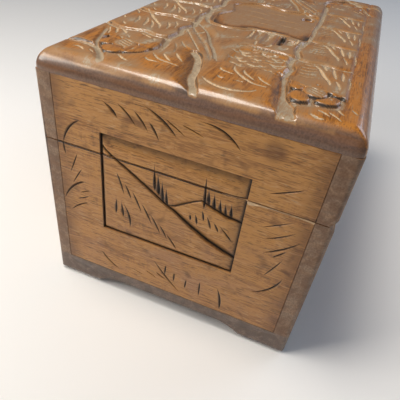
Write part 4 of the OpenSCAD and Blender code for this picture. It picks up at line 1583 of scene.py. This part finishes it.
    def build(self) -> None:
        """Carve the whole top: what both ends share is carved once more, turned half round."""
        shared = (self.long_leaf, self.bush, self.left_blossom, self.right_blossom, self.end_leaves)
        for way, works in ((1, [self.pools]), (-1, [self.pools]),
                           (1, [self.front_column, self.back_column, self.pavilion, self.lake]),
                           (1, shared), (-1, shared)):
            self.relief.way = way
            for work in works:
                work()


@dataclass
class CarvedLidTop:
    """The board on top of the lid, with its rounded edge and its relief, as one closed mesh."""

    name: str = "carved_lid_top"
    rounding: float = 9.5
    corner_power: float = 5.0
    deepest: float = 4.4

    def build(self, material: Material) -> bpy.types.Object:
        """Carve the relief and lay it over the board.

        Args:
            material: The varnished wood.

        Returns:
            The new object.
        """
        relief = Relief(Shell.half_length, Shell.half_width, self.rounding)
        LidCarving(relief).build()
        self.gouge_ground(relief)
        height = self.run_out(relief, np.clip(relief.height + relief.veins, -self.deepest, 0.0))
        forms = self.run_out(relief, np.clip(relief.height, -self.deepest, 0.0))
        fade = self.edge_fade(relief)
        place = self.over_edges(relief, height)
        rows, columns = relief.x.shape
        rim = self.rim(rows, columns)
        under = place[rim].copy()
        under[:, 2] = Shell.ceiling
        vertices = np.concatenate([place, under]) * MM
        mesh = bpy.data.meshes.new(self.name)
        self.fill(mesh, vertices, rows, columns, rim)
        walls = self.walls(relief, forms)
        # Painted shade in the cut attribute: hollow places, the foot of walls, the walls, and spots of
        # painted shade and stain.
        shadow = np.maximum.reduce([self.hollow_shade(height) * 0.5, self.foot_shadow(relief, forms) * 0.8, walls,
                                    relief.stain * fade])
        # Bare wood and dust in the worn attribute, with a painted highlight on the top edges of walls that is
        # partly wear.
        rubbed = np.maximum(relief.pale, 0.5 * self.crest_highlights_and_wear(forms)) * fade * (1 - 0.8 * walls)
        for name, values in (("cut", shadow), ("worn", rubbed)):
            kept = np.append(values.ravel(), np.zeros(len(rim))).astype(np.float32)
            mesh.attributes.new(name, "FLOAT", "POINT").data.foreach_set("value", kept)
        return finish_mesh(mesh, material, math.radians(60))

    def gouge_ground(self, relief: Relief) -> None:
        """Leave the shallow marks of the gouge on the bare ground."""
        x = relief.x
        y = relief.y
        marks = 0.16 * np.sin(x * 1.3 + 1.7 * np.sin(y * 0.55)) * np.sin(y * 1.1 + 1.3 * np.sin(x * 0.37))
        relief.height += np.where(relief.pale > 0.7, marks, 0.0)

    def turn(self, relief: Relief) -> np.ndarray:
        """Return how far over the rounded edge each place lies, as an angle in radians."""
        gap = np.minimum(relief.reach_x - np.abs(relief.x), relief.reach_y - np.abs(relief.y))
        return np.clip(math.pi / 2 - gap / relief.rounding, 0, math.pi / 2)

    def run_out(self, relief: Relief, height: np.ndarray) -> np.ndarray:
        """Let cuts end in a crisp edge where the rounding falls below their bottoms."""
        turn = self.turn(relief)
        drop = relief.rounding * (1 - np.cos(turn))
        return np.minimum(height + drop, 0) * np.cos(turn)

    def edge_fade(self, relief: Relief) -> np.ndarray:
        """Return one on the top and zero low on the rounded edge, beyond painted shade spots, stain and wear.
        """
        return np.clip((math.radians(62) - self.turn(relief)) / math.radians(12), 0, 1)

    def walls(self, relief: Relief, height: np.ndarray) -> np.ndarray:
        """Return how upright the surface stands at each place, from 0 to 1, as painted shade with some stain.

        The stop cuts that face the nearer end of the lid get most of it.
        """
        slope_x, slope_y = np.gradient(height, relief.step)
        steepness = np.hypot(slope_x, slope_y)
        outward = np.clip(-slope_x * np.sign(relief.x) / np.maximum(steepness, 1e-6), 0, 1)
        return np.clip((steepness - 0.6) / 1.1, 0, 1) * (0.45 + 0.55 * outward)

    def beside(self, relief: Relief, height: np.ndarray, outward: int) -> np.ndarray:
        """Return the height one step nearer to the lid's end, or for minus one farther from it."""
        towards_right = np.roll(height, -outward, 0)
        towards_left = np.roll(height, outward, 0)
        return np.where(relief.x > 0, towards_right, towards_left)

    def foot_shadow(self, relief: Relief, height: np.ndarray) -> np.ndarray:
        """Return how close each place lies to the foot of a wall facing the end, as a painted shadow and
        grime.

        Args:
            relief: The carved relief.
            height: Its height map.

        Returns:
            A share from 0 to 1.
        """
        inner = self.beside(relief, height, -1)
        highest = np.maximum(inner, self.beside(relief, inner, -1))
        for shift in (-1, 1):
            highest = np.maximum(highest, np.roll(inner, shift, 1))
        return np.clip((highest - height - 0.7) / 0.9, 0, 1)

    def crest_highlights_and_wear(self, height: np.ndarray) -> np.ndarray:
        """Return how close each place lies above a wall: a painted highlight, and wear where hands rubbed it.

        Args:
            height: The height map.

        Returns:
            A share from 0 to 1.
        """
        lowest = height.copy()
        for axis in (0, 1):
            for shift in (-1, 1):
                lowest = np.minimum(lowest, np.roll(height, shift, axis))
        steep = np.clip((height - lowest - 0.35) / 0.5, 0, 1)
        level = np.clip((height + 1.1) / 0.6, 0, 1)
        return steep * level

    def hollow_shade(self, height: np.ndarray) -> np.ndarray:
        """Return how far each place lies below its surroundings, as painted shade with grime and old wax.

        Args:
            height: The height map.

        Returns:
            A share from 0 to 1.
        """
        blurred = height.copy()
        reach = 4
        for axis in (0, 1):
            total = np.zeros_like(blurred)
            for shift in range(-reach, reach + 1):
                total += np.roll(blurred, shift, axis)
            blurred = total / (2 * reach + 1)
        return np.clip((blurred - height - 0.75) / 1.3, 0, 1)

    def over_edges(self, relief: Relief, height: np.ndarray) -> np.ndarray:
        """Fold the height map over the board's rounded edge.

        Args:
            relief: The grid's places.
            height: The height at each place.

        Returns:
            The points of the surface, in millimetres.
        """
        past_x = np.clip(np.abs(relief.x) - (relief.half_length - relief.rounding), 0, None)
        past_y = np.clip(np.abs(relief.y) - (relief.half_width - relief.rounding), 0, None)
        furthest = np.maximum(np.maximum(past_x, past_y), 1e-9)
        power = self.corner_power
        shrink = ((past_x / furthest) ** power + (past_y / furthest) ** power) ** (1 / power)
        shrink = np.maximum(shrink, 1e-9)
        turn = np.clip(furthest / relief.rounding, 0, math.pi / 2)
        side_x = np.sign(relief.x) * past_x / shrink / furthest
        side_y = np.sign(relief.y) * past_y / shrink / furthest
        out = relief.rounding * np.sin(turn) + height * np.sin(turn)
        x = np.sign(relief.x) * np.minimum(np.abs(relief.x),
                                           relief.half_length - relief.rounding) + side_x * out
        y = np.sign(relief.y) * np.minimum(np.abs(relief.y),
                                           relief.half_width - relief.rounding) + side_y * out
        z = Shell.top - relief.rounding * (1 - np.cos(turn)) + height * np.cos(turn)
        return np.stack([x.ravel(), y.ravel(), z.ravel()], axis=1)

    def rim(self, rows: int, columns: int) -> np.ndarray:
        """Return the numbers of the grid's outer points, once round."""
        index = np.arange(rows * columns).reshape(rows, columns)
        return np.concatenate([index[:-1, 0], index[-1, :-1], index[:0:-1, -1], index[0, :0:-1]])

    def fill(self, mesh: Mesh, vertices: np.ndarray, rows: int, columns: int, rim: np.ndarray) -> None:
        """Give the mesh its points and faces: the carved top, the band below it and the flat underside.

        Args:
            mesh: The empty mesh.
            vertices: Its points, the grid's first.
            rows: The grid's rows.
            columns: The grid's columns.
            rim: Numbers of the grid's outer points, in order.
        """
        index = np.arange(rows * columns).reshape(rows, columns)
        top = np.stack([index[:-1, :-1], index[1:, :-1], index[1:, 1:], index[:-1, 1:]],
                       axis=-1).reshape(-1, 4)
        low = rows * columns + np.arange(len(rim))
        band = np.stack([rim, low, np.roll(low, -1), np.roll(rim, -1)], axis=-1)
        quads = np.concatenate([top, band])
        corners = np.concatenate([quads.ravel(), low[::-1]])
        starts = np.append(np.arange(len(quads)) * 4, len(quads) * 4)
        mesh.vertices.add(len(vertices))
        mesh.vertices.foreach_set("co", vertices.astype(np.float32).ravel())
        mesh.loops.add(len(corners))
        mesh.loops.foreach_set("vertex_index", corners.astype(np.int32))
        mesh.polygons.add(len(starts))
        mesh.polygons.foreach_set("loop_start", starts.astype(np.int32))
        mesh.update(calc_edges=True)


@dataclass
class KeepsakeBox:
    """The whole box: carved boards in place of the plain ones, and finishes on all the rest.

    The chips are places along the seam of the end board, with how wide its edge has broken away.
    """

    # On the boards the cut colour darkens pores, and through the cut attribute lays painted shade and grime
    # in the cuts.
    walls_long: CamphorWood = CamphorWood(
        "camphor_long_boards_oiled", Grain.ALONG_X, light="#B88140", middle="#95622C", dark="#5C3617",
        end_grain="#9C8066", cut="#261D18", rubbed="#9E7254", dusty="#C8A880", worn="#D8B68C")
    walls_end: CamphorWood = replace(
        walls_long, name="camphor_end_boards_oiled", grain=Grain.ALONG_Y, grime_from=58.0,
        blot=(Shell.half_length, 44.0, 136.0))
    # On the lid the cut colour is laid by the cut attribute as painted shade with some stain.
    lid: CamphorWood = CamphorWood(
        "camphor_lid_varnished", Grain.ALONG_X, light="#B87420", middle="#925814", dark="#643A0E",
        end_grain="#735440", cut="#30261A", rubbed="#A47A4E", dusty="#AA977C", worn="#D2B188",
        grime_from=200.0, roughness=0.36, coat=0.6, coat_roughness=0.13)
    base_wood: CamphorWood = CamphorWood(
        "camphor_base_waxed", Grain.ALONG_X, light="#A0866E", middle="#806A5A", dark="#52433A",
        end_grain="#90796A", cut="#3A2F28", rubbed="#9A8266", dusty="#A8947A", worn="#B89F7E",
        raw="#B08A5E", roughness=0.5, coat=0.1, coat_roughness=0.35)
    seam_chips: tuple[Point, ...] = ((24.0, 0.05), (30.0, 0.15), (36.0, 0.25), (38.0, 1.7), (40.5, 1.5),
                                     (43.0, 0.6), (49.0, 0.25), (56.0, 0.35), (63.0, 0.3), (67.0, 0.55),
                                     (70.4, 1.1))
    base_wear: float = 1.6
    brass: AgedMetal = AgedMetal("brass_stamped_aged", "#C9A24E", "#7E6432", 0.3)
    steel: AgedMetal = AgedMetal("steel_drawn_blackened", "#77726C", "#3B3632", 0.38)
    nail_inset: float = 9.0
    corner_rounding: float = 3.0
    made: dict[str, Material] = field(default_factory=dict)

    def dress_frame(self) -> None:
        """Give each piece of the frame its finish."""
        finishes = {"long": self.walls_long, "end": self.walls_end, "base": self.base_wood, "lid": self.lid,
                    "brass": self.brass, "steel": self.steel}
        self.made = {name: finish.build() for name, finish in finishes.items()}
        words = {"hinge": "brass", "nails": "steel", "base_board": "base", "lid_top": "lid", "left": "end",
                 "right": "end"}
        for name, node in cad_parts.items():
            kind = next((kind for word, kind in words.items() if word in name), "long")
            for place in node.material_slots:
                place.material = self.made[kind]
            LOG.info("dressed %s with %s", name, self.made[kind].name)

    def end_boards(self) -> None:
        """Carve both end faces, each in its body part and its lid part."""
        half = Shell.inner_half_width
        for side, face, mirrored in (("right", Faces.right, False), ("left", Faces.left, True)):
            cuts = EndCarving(mirrored).build()
            for node, body, low, high in (
                (f"{side}_end_board", "body", Shell.floor, Shell.body_top),
                (f"lid_{side}_rail", "lid", Shell.lid_bottom, Shell.ceiling),
            ):
                chips = self.seam_chips if body == "body" and not mirrored else []
                board = CarvedBoard(f"carved_{node}", face, (-half, low), (half, high),
                                    Shell.end_thickness, cuts, chips=list(chips))
                self.add(board.build(self.made["end"]), body, "wall_wood", node)

    def front_boards(self) -> None:
        """Carve the front face, in its body part and its lid part."""
        cuts = FrontCarving().build()
        half = Shell.half_length
        nail_x = half - Shell.end_thickness / 2
        for node, body, low, high, count in (
            ("front_board", "body", Shell.floor, Shell.body_top, 3),
            ("lid_front_rail", "lid", Shell.lid_bottom, Shell.ceiling, 2),
        ):
            heights = np.linspace(low + self.nail_inset, high - self.nail_inset, count)
            nails = [(side * nail_x, height) for side in (-1, 1) for height in heights]
            board = CarvedBoard(f"carved_{node}", Faces.front, (-half, low), (half, high),
                                Shell.side_thickness, cuts, nails, self.corner_rounding)
            self.add(board.build(self.made["long"]), body, "wall_wood", node)

    def base(self) -> None:
        """Take the sharpness off the base board's outer corners, as years of sliding have."""
        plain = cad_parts["base_board"]
        low, high = (np.array(corner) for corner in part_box("base_board"))
        shape = bmesh.new()
        shape.from_mesh(plain.data)
        shape.transform(plain.matrix_world)
        bmesh.ops.remove_doubles(shape, verts=shape.verts, dist=1e-6)
        bmesh.ops.dissolve_limit(shape, angle_limit=math.radians(1), verts=shape.verts, edges=shape.edges)
        near = 0.05 * MM

        def sides(vertex: bmesh.types.BMVert) -> set[str]:
            """Name the outer sides that a point lies on."""
            place = np.array(vertex.co)
            low_sides = {f"low{i}" for i in range(3) if abs(place[i] - low[i]) < near}
            return low_sides | {f"high{i}" for i in range(2) if abs(place[i] - high[i]) < near}

        picked = [edge for edge in shape.edges if len(sides(edge.verts[0]) & sides(edge.verts[1])) > 1]
        bmesh.ops.bevel(shape, geom=picked, offset=self.base_wear * MM, offset_type="OFFSET", segments=3,
                        profile=0.5, affect="EDGES", clamp_overlap=True)
        mesh = bpy.data.meshes.new("worn_base_board")
        shape.to_mesh(mesh)
        shape.free()
        self.add(finish_mesh(mesh, plain.material_slots[0].material, math.radians(40)), "body", "base_wood",
                 "base_board")

    def lid_top(self) -> None:
        """Carve the top of the lid."""
        self.add(CarvedLidTop().build(self.made["lid"]), "lid", "lid_wood", "lid_top_board")

    def add(self, piece: bpy.types.Object, body: str, slot: str, node: str) -> None:
        """Hand a piece to the frame.

        Args:
            piece: The finished object.
            body: The moving body that it belongs to.
            slot: Not used.
            node: The plain piece that it stands for.
        """
        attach(piece, body)
        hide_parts(node)
        LOG.info("%s: %d faces on %s", piece.name, len(piece.data.polygons), body)


@dataclass(frozen=True)
class Studio:
    """A pale floor, soft lamps and the camera, in metres."""

    camera_place: tuple[float, float, float] = (0.28996, 0.05856, 0.22629)
    camera_heading: float = 196.02
    camera_pitch: float = -38.33
    camera_roll: float = 8.14
    camera_lens: float = 36.88

    def camera(self) -> None:
        """Place the camera as the photograph was taken."""
        data = bpy.data.cameras.new("camera")
        data.lens = self.camera_lens
        data.sensor_width = 36.0
        data.sensor_fit = "HORIZONTAL"
        data.clip_start = 0.01
        heading = math.radians(self.camera_heading)
        pitch = math.radians(self.camera_pitch)
        roll = math.radians(self.camera_roll)
        ahead = Vector((math.cos(heading) * math.cos(pitch), math.sin(heading) * math.cos(pitch),
                        math.sin(pitch)))
        level = ahead.cross(Vector((0, 0, 1))).normalized()
        above = level.cross(ahead)
        right = level * math.cos(roll) + above * math.sin(roll)
        up = right.cross(ahead)
        made = bpy.data.objects.new("camera", data)
        turn = Matrix((right, up, -ahead)).transposed().to_4x4()
        made.matrix_world = Matrix.Translation(self.camera_place) @ turn
        bpy.context.scene.collection.objects.link(made)
        bpy.context.scene.camera = made

    def floor(self) -> None:
        """Lay a large pale floor."""
        reach = 6.0
        mesh = bpy.data.meshes.new("floor")
        corners = [(-reach, -reach, 0), (reach, -reach, 0), (reach, reach, 0), (-reach, reach, 0)]
        mesh.from_pydata(corners, [], [(0, 1, 2, 3)])
        material = bpy.data.materials.new("floor_pale_matte")
        material.use_nodes = True
        surface = material.node_tree.nodes["Principled BSDF"]
        surface.inputs["Base Color"].default_value = linear("#F0EFED")
        surface.inputs["Roughness"].default_value = 0.7
        mesh.materials.append(material)
        made = bpy.data.objects.new("floor", mesh)
        bpy.context.scene.collection.objects.link(made)
        made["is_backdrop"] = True

    def lamp(self, name: str, place: Sequence[float], size: float, power: float, tint: str) -> None:
        """Hang one soft square lamp that points at the box.

        Args:
            name: Its name.
            place: Where it hangs.
            size: Its side.
            power: Its power, in watts.
            tint: Its colour.
        """
        data = bpy.data.lights.new(name, "AREA")
        data.shape = "SQUARE"
        data.size = size
        data.energy = power
        data.color = linear(tint)[:3]
        made = bpy.data.objects.new(name, data)
        aim = Vector((0, 0, 0.08)) - Vector(place)
        made.rotation_euler = aim.to_track_quat("-Z", "Y").to_euler()
        made.location = place
        bpy.context.scene.collection.objects.link(made)

    def light(self) -> None:
        """Light the box softly from above and from the camera's left, in a pale room."""
        for name, place, size, power, tint in (
            ("key_lamp", (0.36, -0.46, 0.4), 0.3, 2.25, "#FFF9F0"),
            ("ceiling_lamp", (0.2, -0.34, 1.28), 0.45, 10.5, "#FFF8EE"),
            ("fill_lamp", (1.2, -0.1, 0.6), 0.9, 0.85, "#DCEAFF"),
            ("rear_lamp", (-1.1, 0.9, 0.9), 0.9, 6.0, "#E8F0FF"),
        ):
            self.lamp(name, place, size, power, tint)
        world = bpy.data.worlds.new("room")
        bpy.context.scene.world = world
        world.use_nodes = True
        background = world.node_tree.nodes["Background"]
        background.inputs["Color"].default_value = linear("#CFE0F8")
        background.inputs["Strength"].default_value = 0.15

    def build(self) -> None:
        """Set up the camera, the floor and the lamps."""
        self.camera()
        self.floor()
        self.light()
        bpy.context.scene.view_settings.view_transform = "Standard"


def main() -> None:
    """Build the studio and the box."""
    logging.basicConfig(level=logging.INFO, format="%(name)s %(message)s", force=True)
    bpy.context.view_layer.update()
    Studio().build()
    LOG.info("studio ready")
    box = KeepsakeBox()
    box.dress_frame()
    box.end_boards()
    box.front_boards()
    box.lid_top()
    box.base()


if __name__ == "__main__":
    main()
